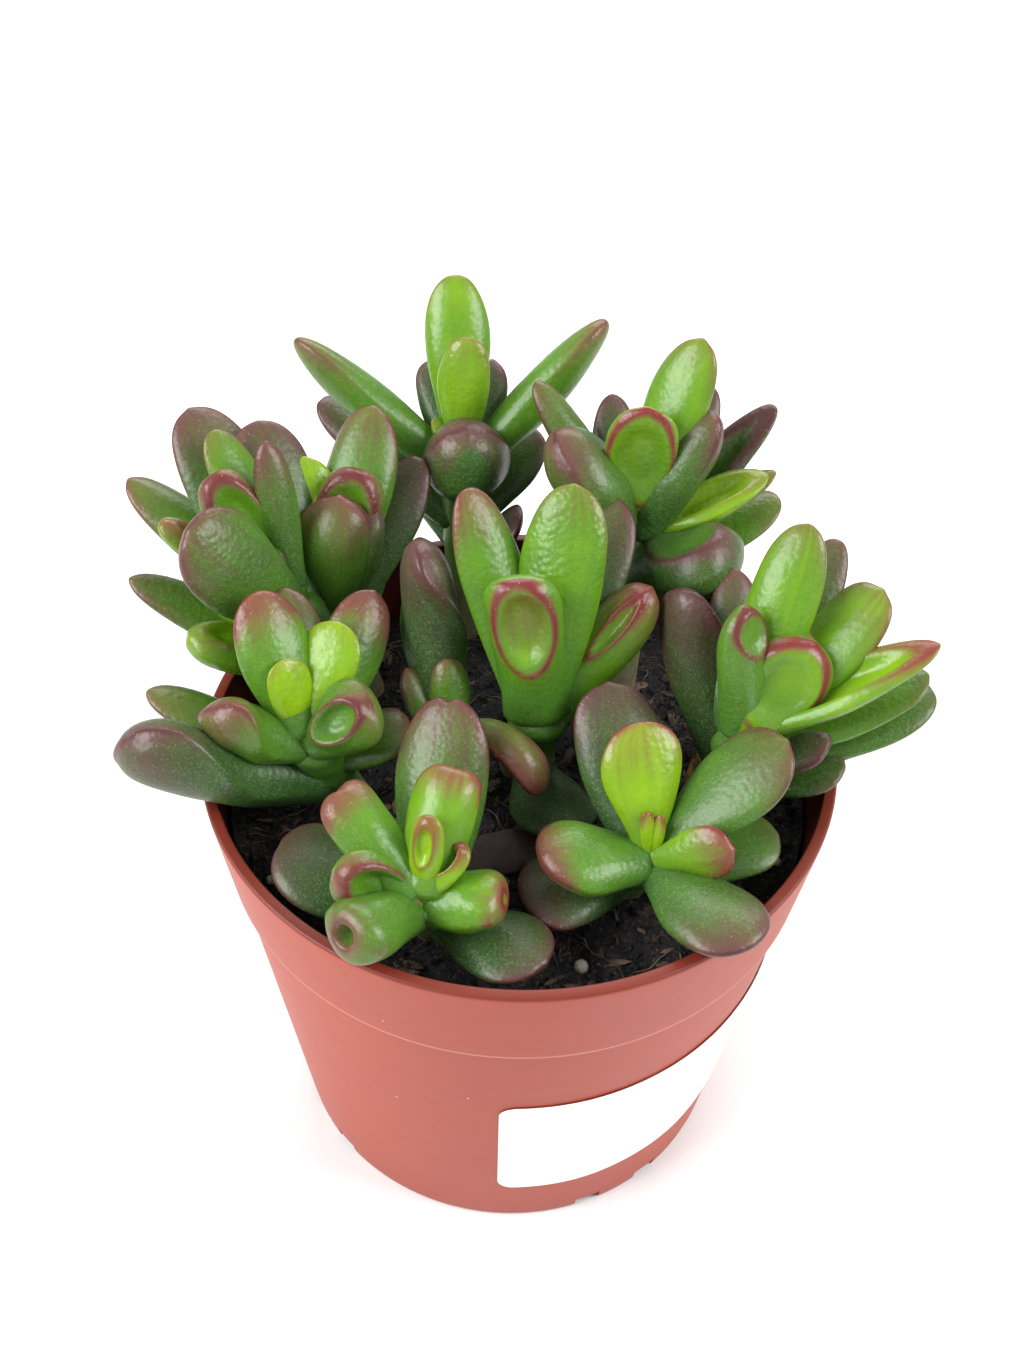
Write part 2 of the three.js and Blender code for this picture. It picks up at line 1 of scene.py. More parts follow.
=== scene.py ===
import bpy
import numpy as np
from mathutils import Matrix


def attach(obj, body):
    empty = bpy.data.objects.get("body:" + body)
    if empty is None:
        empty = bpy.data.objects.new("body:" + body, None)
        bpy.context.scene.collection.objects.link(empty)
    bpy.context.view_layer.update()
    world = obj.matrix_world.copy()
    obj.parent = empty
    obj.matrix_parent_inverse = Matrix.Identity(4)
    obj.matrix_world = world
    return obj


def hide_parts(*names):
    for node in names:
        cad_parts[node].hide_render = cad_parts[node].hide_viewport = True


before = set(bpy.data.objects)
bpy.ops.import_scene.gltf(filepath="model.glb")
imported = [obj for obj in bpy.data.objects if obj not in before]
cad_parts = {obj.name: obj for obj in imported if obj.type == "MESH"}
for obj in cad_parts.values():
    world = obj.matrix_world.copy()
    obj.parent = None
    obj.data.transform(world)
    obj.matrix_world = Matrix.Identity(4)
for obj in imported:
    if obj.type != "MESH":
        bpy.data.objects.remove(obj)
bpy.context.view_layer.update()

# Hobbit jade in a terracotta-coloured nursery pot. The pot stands on z = 0 with its axis on the z
# axis, and -y is the front. Sizes are in millimetres, and MM turns them to metres.


# Pot: a 4 inch nursery pot, one thin wall with a plain band under its rim, injection moulded in
# terracotta-coloured polypropylene. The mould leaves it smooth and satin with a faint ripple, and
# the nursery leaves it dusty. Painted shade darkens the top of the rim and the inner wall, and a
# painted highlight lightens the band's lower corner.
MM = 0.001
POT_HEIGHT = 82.6
RIM_RADIUS = 50.8
BAND_RADIUS = 47.9
BAND_BOTTOM = 63.8
BAND_STEP = 0.8
BAND_ROUND = 0.35
FOOT_RADIUS = 37.8
FOOT_ROUND = 0.9
WALL = 1.5
FLOOR = 1.8
RIM_FLAT = 1.2
RIM_ROUND = 0.5
RIM_INNER_ROUND = 0.4
FLOOR_ROUND = 1
POT_SIDES = 240
NOTCH_PAIRS = (-58, 32, 122, 212)
NOTCH_APART = 18
NOTCH_SIZE = (3.4, 4.6, 2.8)


def linear(colour):
    """Turns an sRGB hex colour into linear red, green, blue and a full alpha."""
    parts = [int(colour[i:i + 2], 16) / 255 for i in (1, 3, 5)]
    return [c / 12.92 if c <= 0.04045 else ((c + 0.055) / 1.055) ** 2.4 for c in parts] + [1.0]


def add_node(tree, kind, sockets, **settings):
    """Adds one shader node, sets its properties, and sets or links its sockets by name or place.
    A node given for a socket is linked by its first output in use, and a hex colour is turned
    linear."""
    made = tree.nodes.new("ShaderNode" + kind)
    for key, value in settings.items():
        setattr(made, key, value)
    for key, value in sockets.items():
        if isinstance(value, bpy.types.Node):
            value = next(output for output in value.outputs if output.enabled)
        if isinstance(value, bpy.types.NodeSocket):
            tree.links.new(value, made.inputs[key])
        else:
            made.inputs[key].default_value = linear(value) if isinstance(value, str) else value
    return made


def new_material(name):
    """A material with a bare output; returns it, its node tree, the output's surface socket and
    the place of each point on the object, in metres."""
    made = bpy.data.materials.new(name)
    made.use_nodes = True
    made.node_tree.nodes.clear()
    output = made.node_tree.nodes.new("ShaderNodeOutputMaterial")
    place_on = add_node(made.node_tree, "TexCoord", {}).outputs["Object"]
    return made, made.node_tree, output.inputs["Surface"], place_on


def add_piece(name, points, quads, tris, material):
    """A smooth mesh from arrays: points in millimetres, four-sided faces and three-sided faces."""
    corners = np.concatenate([np.ravel(quads), np.ravel(tris)]).astype(np.int32)
    sizes = np.repeat([4, 3], [len(quads), len(tris)])
    starts = np.concatenate([[0], np.cumsum(sizes)[:-1]]).astype(np.int32)
    mesh = bpy.data.meshes.new(name)
    mesh.vertices.add(len(points))
    mesh.vertices.foreach_set("co", np.ravel(np.asarray(points) * MM).astype(np.float32))
    mesh.loops.add(len(corners))
    mesh.loops.foreach_set("vertex_index", corners)
    mesh.polygons.add(len(sizes))
    mesh.polygons.foreach_set("loop_start", starts)
    mesh.update(calc_edges=True)
    mesh.validate()
    mesh.shade_smooth()
    mesh.materials.append(material)
    piece = bpy.data.objects.new(name, mesh)
    bpy.context.scene.collection.objects.link(piece)
    return piece


def tube_faces(rows, sides, start=0):
    """Faces of rows of points, each row a closed ring of as many sides."""
    row, side = np.meshgrid(np.arange(rows - 1), np.arange(sides), indexing="ij")
    here = start + row * sides + side
    beside = start + row * sides + (side + 1) % sides
    return np.stack([here, beside, beside + sides, here + sides], -1).reshape(-1, 4)


def end_fans(last, sides):
    """Three-sided faces that close a tube: the point 0 with the first ring, which follows it, and
    the last point with the last ring, which stands before it."""
    side = np.arange(sides)
    beside = (side + 1) % sides
    first_fan = np.stack([np.zeros_like(side), 1 + beside, 1 + side], -1)
    last_fan = np.stack([np.full(sides, last), last - sides + side, last - sides + beside], -1)
    return np.concatenate([first_fan, last_fan])


def arc(centre, radius, start, end, steps):
    """Profile points (r, z) of an arc round a centre, from one angle to another in degrees."""
    angle = np.radians(np.linspace(start, end, steps))
    return np.stack([centre[0] + radius * np.cos(angle), centre[1] + radius * np.sin(angle)], -1)


def pot_radius(z):
    """Outer radius at a height: a cone up to the band, a step, and a steeper cone over the band."""
    low = FOOT_RADIUS + (BAND_RADIUS - BAND_STEP - FOOT_RADIUS) * z / BAND_BOTTOM
    high = BAND_RADIUS + (RIM_RADIUS - BAND_RADIUS) * (z - BAND_BOTTOM) / (POT_HEIGHT - BAND_BOTTOM)
    return np.where(np.asarray(z) < BAND_BOTTOM, low, high)


def wall_points(low, high, steps, inset=0.0):
    """Profile points up or down the wall, as far inside its outer face as inset says."""
    z = np.linspace(low, high, steps)
    return np.stack([pot_radius(z) - inset, z], -1)


def lathe(profile, sides):
    """Points, quads and tris of a profile (r, z) turned round the z axis, closed at both poles."""
    turn = 2 * np.pi * np.arange(sides) / sides
    rows = profile[1:-1]
    x = rows[:, :1] * np.cos(turn)
    y = rows[:, :1] * np.sin(turn)
    z = np.repeat(rows[:, 1:], sides, axis=1)
    rings = np.stack([x, y, z], -1).reshape(-1, 3)
    points = np.concatenate([[[0, 0, profile[0][1]]], rings, [[0, 0, profile[-1][1]]]])
    return points, tube_faces(len(rows), sides, start=1), end_fans(len(points) - 1, sides)


pot_profile = np.concatenate([
    [[0, 0], [20, 0], [FOOT_RADIUS - 2 * FOOT_ROUND, 0]],
    arc((FOOT_RADIUS - FOOT_ROUND, FOOT_ROUND), FOOT_ROUND, -90, -8, 6),
    wall_points(2, BAND_BOTTOM - 0.5, 24),
    arc((BAND_RADIUS - BAND_ROUND, BAND_BOTTOM + 0.15), BAND_ROUND, -80, -5, 5),
    wall_points(BAND_BOTTOM + 0.6, POT_HEIGHT - 1.1, 8),
    arc((RIM_RADIUS - 0.1 - RIM_ROUND, POT_HEIGHT - RIM_ROUND), RIM_ROUND, 5, 90, 6),
    arc((RIM_RADIUS - RIM_ROUND - RIM_FLAT, POT_HEIGHT - RIM_INNER_ROUND), RIM_INNER_ROUND,
        90, 170, 5),
    wall_points(POT_HEIGHT - 2.5, BAND_BOTTOM + 1, 6, WALL),
    wall_points(BAND_BOTTOM - 1, FLOOR + 1.4, 8, WALL),
    arc((pot_radius(FLOOR) - WALL - FLOOR_ROUND, FLOOR + FLOOR_ROUND), FLOOR_ROUND, -10, -90, 5),
    [[20, FLOOR], [0, FLOOR]],
])

terracotta, tree, surface, where = new_material("moulded_polypropylene_terracotta")
# Polypropylene stays plain in colour. A cloudiness of 22 mm, with finer ones in it, keeps it from
# looking painted, and painted shade darkens the top of the rim, under the leaves that hang over it.
cloudy = add_node(tree, "TexNoise", {"Vector": where, "Scale": 45.0, "Detail": 3.0})
shade = add_node(tree, "Mix", {0: cloudy, 6: "#983926", 7: "#a3442f"}, data_type="RGBA")
height = add_node(tree, "SeparateXYZ", {0: where})
rim_shade_mask = add_node(tree, "MapRange", {
    "Value": height.outputs["Z"], "From Min": (POT_HEIGHT - 0.75) * MM,
    "From Max": (POT_HEIGHT - 0.2) * MM})
rim_shaded = add_node(tree, "Mix", {0: rim_shade_mask, 6: shade, 7: "#6f2a1d"}, data_type="RGBA")
# A painted highlight: the band's lower corner is made paler, where its rounding catches light.
from_corner = add_node(tree, "Math", {0: height.outputs["Z"], 1: (BAND_BOTTOM + 0.25) * MM},
                       operation="SUBTRACT")
corner_gap = add_node(tree, "Math", {0: from_corner}, operation="ABSOLUTE")
corner_highlight = add_node(tree, "MapRange", {"Value": corner_gap, "From Min": 0.45 * MM,
                                            "From Max": 0.1 * MM, "To Max": 0.5})
with_corner_highlight = add_node(tree, "Mix", {0: corner_highlight, 6: rim_shaded, 7: "#d08a78"}, data_type="RGBA")
# Painted shade: the inner wall, which faces the pot's axis, is made dark brown for its deep shade.
across = add_node(tree, "VectorMath", {0: where, 1: (1.0, 1.0, 0.0)}, operation="MULTIPLY")
outward = add_node(tree, "VectorMath", {0: across}, operation="NORMALIZE")
inward = add_node(tree, "VectorMath", {
    0: outward, 1: add_node(tree, "NewGeometry", {}).outputs["True Normal"]},
    operation="DOT_PRODUCT")
inner_shade = add_node(tree, "MapRange", {"Value": inward.outputs["Value"], "From Min": -0.3,
                                      "From Max": -0.7, "To Max": 0.8})
inner = add_node(tree, "Mix", {0: inner_shade, 6: with_corner_highlight, 7: "#2c1714"}, data_type="RGBA")
# Dust: specks about 0.4 mm across and some 10 mm apart.
dust = add_node(tree, "TexVoronoi", {"Vector": where, "Scale": 170.0})
speck = add_node(tree, "MapRange", {"Value": dust, "From Min": 0.04, "From Max": 0.02})
few = add_node(tree, "SeparateXYZ", {0: dust.outputs["Color"]})
kept = add_node(tree, "Math", {0: few.outputs["X"], 1: 0.7}, operation="GREATER_THAN")
dusty = add_node(tree, "Math", {0: speck, 1: kept}, operation="MULTIPLY")
pot_colour = add_node(tree, "Mix", {0: dusty, 6: inner, 7: "#d9b3a6"}, data_type="RGBA")
# Moulding ripple some 9 mm long, with a fine grain of 0.3 mm that breaks up the gloss.
ripple = add_node(tree, "TexNoise", {"Vector": where, "Scale": 110.0, "Detail": 2.0})
grain = add_node(tree, "TexNoise", {"Vector": where, "Scale": 3300.0, "Detail": 2.0})
wavy = add_node(tree, "Bump", {"Height": ripple, "Distance": 0.12 * MM})
rough_skin = add_node(tree, "Bump", {"Height": grain, "Distance": 0.006 * MM, "Normal": wavy})
gloss = add_node(tree, "MapRange", {"Value": cloudy, "To Min": 0.36, "To Max": 0.48})
plastic = add_node(tree, "BsdfPrincipled", {
    "Base Color": pot_colour, "Roughness": gloss, "IOR": 1.49,
    "Specular IOR Level": 0.35, "Normal": rough_skin})
tree.links.new(plastic.outputs[0], surface)

pot = add_piece("nursery_pot", *lathe(pot_profile, POT_SIDES), terracotta)

# Drain notches, in pairs, are cut out of the corner between the wall and the floor by blocks.
corner = np.array([[x, y, z] for x in (-1, 1) for y in (-0.5, 0.5) for z in (-1, 1)])
block_faces = np.array([
    [0, 1, 3, 2], [4, 6, 7, 5], [0, 4, 5, 1], [2, 3, 7, 6], [0, 2, 6, 4], [1, 5, 7, 3]])
blocks = []
for pair in NOTCH_PAIRS:
    for side in (-0.5, 0.5):
        turn = np.radians(pair + side * NOTCH_APART - 90)
        block = corner * NOTCH_SIZE + [FOOT_RADIUS, 0, 0]
        out = np.array([[np.cos(turn), np.sin(turn), 0], [-np.sin(turn), np.cos(turn), 0], [0, 0, 1]])
        blocks.append(block @ out)
notches = add_piece(
    "drain_notches", np.concatenate(blocks),
    np.concatenate([block_faces + 8 * i for i in range(len(blocks))]), np.empty((0, 3)), terracotta)
cut = pot.modifiers.new("drain_notches", "BOOLEAN")
cut.operation = "DIFFERENCE"
cut.solver = "EXACT"
cut.object = notches
bpy.context.view_layer.update()
cut_mesh = bpy.data.meshes.new_from_object(pot.evaluated_get(bpy.context.evaluated_depsgraph_get()))
pot.modifiers.clear()
pot.data = cut_mesh
bpy.data.objects.remove(notches)
cut_mesh.set_sharp_from_angle(angle=np.radians(40))
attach(pot, "root")
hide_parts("pot")


# Label: plain white coated paper, 2 1/4 by 1 1/4 inches with rounded corners, pressed by hand
# round the pot's front right, so it climbs a little, lies in faint waves and has a loose top edge.
LABEL_WIDE = 57
LABEL_TALL = 32
LABEL_CORNER = 3
LABEL_THICK = 0.14
LABEL_OFF_POT = 0.05
LABEL_MIDDLE_Z = 30
LABEL_MIDDLE_TURN = 37
LABEL_TILT = 2.5
LABEL_WAVE = 0.03
LABEL_LOOSE = 0.18
LABEL_COLUMNS = 96
LABEL_ROWS = 48


def label_points(lift):
    """A rectangle with arcs for corners, wrapped round the pot's cone: rows shorten near the top
    and the bottom, each point's height also grows with its distance along the label, and the top
    edge stands off by the twelfth power of the way up."""
    tall = LABEL_TALL * (1 - np.cos(np.pi * np.arange(LABEL_ROWS + 1) / LABEL_ROWS)) / 2
    edge = np.minimum(np.minimum(tall, LABEL_TALL - tall), LABEL_CORNER)
    inset = LABEL_CORNER - np.sqrt(LABEL_CORNER ** 2 - (LABEL_CORNER - edge) ** 2)
    along = np.linspace(-1, 1, LABEL_COLUMNS + 1)
    x = (LABEL_WIDE / 2 - inset)[:, None] * along
    z = LABEL_MIDDLE_Z + (tall - LABEL_TALL / 2)[:, None] + x * np.tan(np.radians(LABEL_TILT))
    wave = LABEL_WAVE * np.sin(0.31 * x + 0.2 * z) * np.cos(0.23 * z)
    loose = LABEL_LOOSE * (tall[:, None] / LABEL_TALL) ** 12
    radius = pot_radius(z) + lift + wave + loose
    turn = np.radians(LABEL_MIDDLE_TURN - 90) + x / pot_radius(LABEL_MIDDLE_Z)
    return np.stack([radius * np.cos(turn), radius * np.sin(turn), z], -1)


def sheet_faces(rows, columns):
    """Faces of a thin sheet: a front grid, a back grid turned round, and a strip round the edge."""
    row, column = np.meshgrid(np.arange(rows - 1), np.arange(columns - 1), indexing="ij")
    here = (row * columns + column).ravel()
    front = np.stack([here, here + 1, here + 1 + columns, here + columns], -1)
    back = front[:, ::-1] + rows * columns
    grid = np.arange(rows * columns).reshape(rows, columns)
    rim = np.concatenate([grid[0, :-1], grid[:-1, -1], grid[-1, :0:-1], grid[:0:-1, 0]])
    beside = np.roll(rim, -1)
    strip = np.stack([beside, rim, rim + rows * columns, beside + rows * columns], -1)
    return np.concatenate([front, back, strip])


paper, tree, surface, where = new_material("coated_white_paper")
# Coated paper is near white with a soft, flat sheen. Its fibres, 0.4 mm, show as a faint tooth.
fibre = add_node(tree, "TexNoise", {"Vector": where, "Scale": 2500.0, "Detail": 3.0})
tooth = add_node(tree, "Bump", {"Height": fibre, "Distance": 0.008 * MM})
tint = add_node(tree, "Mix", {0: fibre, 6: "#f3f3f2", 7: "#fbfbfb"}, data_type="RGBA")
coated = add_node(tree, "BsdfPrincipled", {
    "Base Color": tint, "Roughness": 0.45, "IOR": 1.5, "Normal": tooth})
tree.links.new(coated.outputs[0], surface)

label_grid = np.concatenate([
    label_points(LABEL_OFF_POT + LABEL_THICK).reshape(-1, 3),
    label_points(LABEL_OFF_POT).reshape(-1, 3),
])
label = add_piece("plain_label", label_grid, sheet_faces(LABEL_ROWS + 1, LABEL_COLUMNS + 1),
                  np.empty((0, 3)), paper)
label.data.set_sharp_from_angle(angle=np.radians(40))
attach(label, "root")
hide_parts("label")


# Soil: a damp, dark peat mix that fills the pot to about a centimetre under the rim, heaped a
# little in the middle and loosened by watering into lumps of a few millimetres. SOIL_GAP parts it
# from the wall.
SOIL_TOP = 71
SOIL_HEAP = 1.2
SOIL_LUMPS = (0.45, 0.35)
SOIL_SIDES = 300
SOIL_RINGS = 120
SOIL_GAP = 0.3
soil_draw = np.random.default_rng(5)


def lattice_noise(x, y, size, seed):
    """Smooth random heights from -1 to 1: a square lattice of random heights, size apart, with
    each point's height eased between the four that stand round it."""
    heights = np.random.default_rng(seed).uniform(-1, 1, (256, 256))
    u, v = x / size + 128, y / size + 128
    i, j = np.floor(u).astype(int), np.floor(v).astype(int)
    s, t = u - i, v - j
    s, t = s * s * (3 - 2 * s), t * t * (3 - 2 * t)
    low = heights[i, j] * (1 - s) + heights[i + 1, j] * s
    high = heights[i, j + 1] * (1 - s) + heights[i + 1, j + 1] * s
    return low * (1 - t) + high * t


def soil_height(x, y):
    """The rolling top: a heap that falls off with the square of the radius, and two waves."""
    share = np.hypot(x, y) / RIM_RADIUS
    heap = SOIL_HEAP * (1 - 1.6 * share * share)
    broad = SOIL_LUMPS[0] * np.sin(0.33 * x + 1) * np.cos(0.29 * y)
    fine = SOIL_LUMPS[1] * np.sin(0.71 * x + 0.52 * y + 2)
    return SOIL_TOP + heap + broad + fine


def loose_height(x, y):
    """The rolling top with its clods: noise of 5, 2.2 and 1 mm over it."""
    clods = 0.55 * lattice_noise(x, y, 5.0, 11) + 0.45 * lattice_noise(x, y, 2.2, 12)
    return soil_height(x, y) + clods + 0.3 * lattice_noise(x, y, 1.0, 13)


turn = 2 * np.pi * np.arange(SOIL_SIDES) / SOIL_SIDES
top_radius = float(pot_radius(SOIL_TOP - 2)) - WALL - SOIL_GAP - 0.1
top_share = np.linspace(1, 0.008, SOIL_RINGS)[:, None]
top_x = top_radius * top_share * np.cos(turn)
top_y = top_radius * top_share * np.sin(turn)
top = np.stack([top_x, top_y, loose_height(top_x, top_y)], -1)
deep_z = np.array([
    FLOOR + SOIL_GAP, FLOOR + 1.4, BAND_BOTTOM - 1.2, BAND_BOTTOM + 0.8, SOIL_TOP - 4])
deep_radius = pot_radius(deep_z) - WALL - SOIL_GAP - np.array([1.2, 0, 0, 0.1, 0.1])
deep = np.stack([
    deep_radius[:, None] * np.cos(turn), deep_radius[:, None] * np.sin(turn),
    np.repeat(deep_z[:, None], SOIL_SIDES, axis=1)], -1)
rings = np.concatenate([deep, top])
middle = [[0, 0, FLOOR + SOIL_GAP], [0, 0, float(loose_height(np.zeros(1), np.zeros(1))[0])]]
soil_points = np.concatenate([middle[:1], rings.reshape(-1, 3), middle[1:]])

peat, tree, surface, where = new_material("damp_peat_mix")
# Damp peat is almost black with browner, drier crumbs, matt, and rough at every scale down to its
# dust. Lumps of 2.5 mm and crumbs of 0.5 mm carry the colour and the bump.
clod = add_node(tree, "TexNoise", {"Vector": where, "Scale": 400.0, "Detail": 8.0, "Roughness": 0.7})
crumb = add_node(tree, "TexVoronoi", {"Vector": where, "Scale": 1900.0})
dry = add_node(tree, "MapRange", {"Value": clod, "From Min": 0.42, "From Max": 0.7})
damp = add_node(tree, "Mix", {0: dry, 6: "#1a1d22", 7: "#3b3532"}, data_type="RGBA")
crumb_tone = add_node(tree, "SeparateXYZ", {0: crumb.outputs["Color"]})
pale = add_node(tree, "MapRange", {"Value": crumb_tone.outputs["Y"], "From Min": 0.86,
                                   "From Max": 1.0, "To Max": 0.5})
soil_colour = add_node(tree, "Mix", {0: pale, 6: damp, 7: "#6f5b4b"}, data_type="RGBA")
clod_bump = add_node(tree, "Bump", {"Height": clod, "Distance": 1.2 * MM})
crumb_bump = add_node(tree, "Bump", {
    "Height": crumb, "Distance": 0.35 * MM, "Normal": clod_bump}, invert=True)
earth = add_node(tree, "BsdfPrincipled", {
    "Base Color": soil_colour, "Roughness": 0.93, "IOR": 1.4, "Normal": crumb_bump})
tree.links.new(earth.outputs[0], surface)

soil = add_piece(
    "peat_soil", soil_points, tube_faces(len(rings), SOIL_SIDES, start=1),
    end_fans(len(soil_points) - 1, SOIL_SIDES), peat)
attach(soil, "root")
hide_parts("soil")


# Crumbs, grains and slivers: what lies loose on the soil. Peat crumbs and a few grains of white
# perlite are round lumps, bark slivers are flat ones; all lie where they fell, half sunk. Each
# perlite grain has its x, y and radius.
CRUMBS = 2300
CRUMB_RADIUS = (0.25, 1.0)
SLIVERS = 260
SLIVER_HALF_LONG = (0.8, 3.0)
SLIVER_HALF_THICK = (0.12, 0.3)
PERLITE_AT = [(10.3, -36.2, 1.3), (33.5, -28.5, 1.2), (20.0, -38.0, 0.8), (-6.0, -45.0, 0.9),
              (41.5, -14.0, 0.9), (-38.0, -22.0, 0.8), (24.0, -1.0, 1.1), (-2.0, -24.5, 0.8),
              (-17.0, 38.5, 1.2), (28.0, 34.0, 1.3), (-43.0, 6.0, 1.0), (1.5, 43.0, 1.0)]


def lump_shape(rows, sides):
    """A unit ball: a first pole, rings of points and a last pole, with its quads and tris."""
    up = np.pi * np.arange(1, rows + 1) / (rows + 1)
    around = 2 * np.pi * np.arange(sides) / sides
    rings = np.stack([
        np.sin(up)[:, None] * np.cos(around), np.sin(up)[:, None] * np.sin(around),
        -np.cos(up)[:, None] * np.ones(sides)], -1).reshape(-1, 3)
    points = np.concatenate([[[0, 0, -1]], rings, [[0, 0, 1]]])
    return points, tube_faces(rows, sides, start=1), end_fans(len(points) - 1, sides)


def scatter_lumps(at, sizes, turns, shape, rough, draw):
    """Copies of a ball shape at many places: each point is pushed in or out at random, stretched
    by the copy's three sizes and turned by its own turn and tilt."""
    points, quads, tris = shape
    count = len(at)
    push = 1 + rough * draw.uniform(-1, 1, (count, len(points), 1))
    body = points[None] * push * sizes[:, None, :]
    c, s = np.cos(turns), np.sin(turns)
    x, y, z = body[..., 0], body[..., 1], body[..., 2]
    z, x = z * c[:, 1:2] + x * s[:, 1:2], x * c[:, 1:2] - z * s[:, 1:2]
    x, y = x * c[:, :1] - y * s[:, :1], x * s[:, :1] + y * c[:, :1]
    placed = np.stack([x, y, z], -1) + at[:, None, :]
    step = len(points) * np.arange(count)[:, None, None]
    return placed.reshape(-1, 3), (quads + step).reshape(-1, 4), (tris + step).reshape(-1, 3)


def between(limits, share):
    """The first limit, plus a share of the way from it to the second."""
    return limits[0] + (limits[1] - limits[0]) * share


def on_soil(count, draw, reach):
    """Random places on the soil, evenly spread out to the radius reach."""
    radius = reach * np.sqrt(draw.uniform(0, 1, count))
    angle = draw.uniform(0, 2 * np.pi, count)
    x, y = radius * np.cos(angle), radius * np.sin(angle)
    return np.stack([x, y, loose_height(x, y)], -1)


crumb_at = on_soil(CRUMBS, soil_draw, top_radius - 0.8)
crumb_size = between(CRUMB_RADIUS, soil_draw.uniform(0, 1, (CRUMBS, 1)) ** 2.5)
crumb_sizes = crumb_size * soil_draw.uniform(0.65, 1.2, (CRUMBS, 3))
crumb_turns = soil_draw.uniform(0, 2 * np.pi, (CRUMBS, 2))
crumbs = add_piece(
    "peat_crumbs",
    *scatter_lumps(crumb_at, crumb_sizes, crumb_turns, lump_shape(3, 6), 0.3, soil_draw), peat)
crumbs.data.set_sharp_from_angle(angle=np.radians(50))
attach(crumbs, "root")

sliver_wood, tree, surface, where = new_material("shredded_bark")
# Shredded bark runs from grey-brown to red-brown from piece to piece, matt, with a fibrous grain
# of 0.3 mm.
streak = add_node(tree, "TexNoise", {"Vector": where, "Scale": 230.0, "Detail": 5.0})
spread = add_node(tree, "MapRange", {"Value": streak, "From Min": 0.35, "From Max": 0.68})
bark_colour = add_node(tree, "Mix", {0: spread, 6: "#2a1f1b", 7: "#6a5646"}, data_type="RGBA")
bark_grain = add_node(tree, "TexNoise", {"Vector": where, "Scale": 3000.0, "Detail": 3.0})
bark_bump = add_node(tree, "Bump", {"Height": bark_grain, "Distance": 0.15 * MM})
fibrous = add_node(tree, "BsdfPrincipled", {
    "Base Color": bark_colour, "Roughness": 0.85, "IOR": 1.45, "Normal": bark_bump})
tree.links.new(fibrous.outputs[0], surface)

sliver_at = on_soil(SLIVERS, soil_draw, top_radius - 3) + [0, 0, 0.25]
sliver_long = between(SLIVER_HALF_LONG, soil_draw.uniform(0, 1, (SLIVERS, 1)) ** 2)
sliver_sizes = np.concatenate([
    sliver_long, sliver_long * soil_draw.uniform(0.2, 0.5, (SLIVERS, 1)),
    soil_draw.uniform(*SLIVER_HALF_THICK, (SLIVERS, 1))], axis=1)
sliver_turns = np.stack([
    soil_draw.uniform(0, 2 * np.pi, SLIVERS), soil_draw.normal(0, 0.3, SLIVERS)], -1)
slivers = add_piece(
    "bark_slivers",
    *scatter_lumps(sliver_at, sliver_sizes, sliver_turns, lump_shape(3, 8), 0.22, soil_draw),
    sliver_wood)
slivers.data.set_sharp_from_angle(angle=np.radians(35))
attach(slivers, "root")

perlite_glass, tree, surface, where = new_material("expanded_perlite")
# Perlite is volcanic glass blown into a white foam: chalky, pitted every 0.3 mm, stained by peat.
stain = add_node(tree, "TexNoise", {"Vector": where, "Scale": 900.0, "Detail": 4.0})
chalk = add_node(tree, "Mix", {0: stain, 6: "#8d8474", 7: "#dad3c2"}, data_type="RGBA")
pits = add_node(tree, "TexVoronoi", {"Vector": where, "Scale": 3300.0})
pitted = add_node(tree, "Bump", {"Height": pits, "Distance": 0.12 * MM})
foam = add_node(tree, "BsdfPrincipled", {
    "Base Color": chalk, "Roughness": 0.8, "IOR": 1.5, "Normal": pitted})
tree.links.new(foam.outputs[0], surface)

grains = np.array(PERLITE_AT)
grain_at = np.stack([
    grains[:, 0], grains[:, 1],
    loose_height(grains[:, 0], grains[:, 1]) + 0.35 * grains[:, 2]], -1)
grain_sizes = grains[:, 2:] * soil_draw.uniform(0.75, 1.1, (len(grains), 3))
perlite = add_piece(
    "perlite_grains",
    *scatter_lumps(grain_at, grain_sizes, soil_draw.uniform(0, 6, (len(grains), 2)),
                   lump_shape(8, 14), 0.09, soil_draw), perlite_glass)
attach(perlite, "root")


# Fibres: strands of peat and coir, 0.1 to 0.3 mm thick and up to 12 mm long, that lie tangled on
# the soil and stand up a little where they cross.
FIBRES = 300
FIBRE_LONG = (3, 12)
FIBRE_THICK = (0.12, 0.32)
FIBRE_STEPS = 10
FIBRE_SIDES = 5
fibre_draw = np.random.default_rng(8)


def fibre_points(start, heading, long, thick, draw):
    """Thin tubes over the soil: each strand's heading drifts at random from step to step, its
    height follows the soil with a small arch, and its rings narrow to both ends."""
    count = len(start)
    drift = np.cumsum(draw.normal(0, 0.2, (count, FIBRE_STEPS)), axis=1)
    angle = heading[:, None] + drift
    step = (long / FIBRE_STEPS)[:, None]
    x = start[:, :1] + np.cumsum(step * np.cos(angle), axis=1)
    y = start[:, 1:2] + np.cumsum(step * np.sin(angle), axis=1)
    out = np.hypot(x, y)
    inside = np.minimum(1, (top_radius - 1) / out)
    x, y = x * inside, y * inside
    share = np.linspace(0, 1, FIBRE_STEPS)
    arch = draw.uniform(0.1, 0.9, (count, 1)) * np.sin(np.pi * share)
    z = loose_height(x, y) + 0.15 + arch
    radius = thick[:, None] / 2 * (0.35 + 0.65 * np.sin(np.pi * (0.08 + 0.84 * share)))
    around = 2 * np.pi * np.arange(FIBRE_SIDES) / FIBRE_SIDES
    across = np.stack([-np.sin(angle), np.cos(angle), np.zeros_like(angle)], -1)
    ring = (radius[..., None, None] * np.cos(around)[:, None] * across[:, :, None]
            + radius[..., None, None] * np.sin(around)[:, None] * np.array([0, 0, 1]))
    return np.stack([x, y, z], -1)[:, :, None] + ring


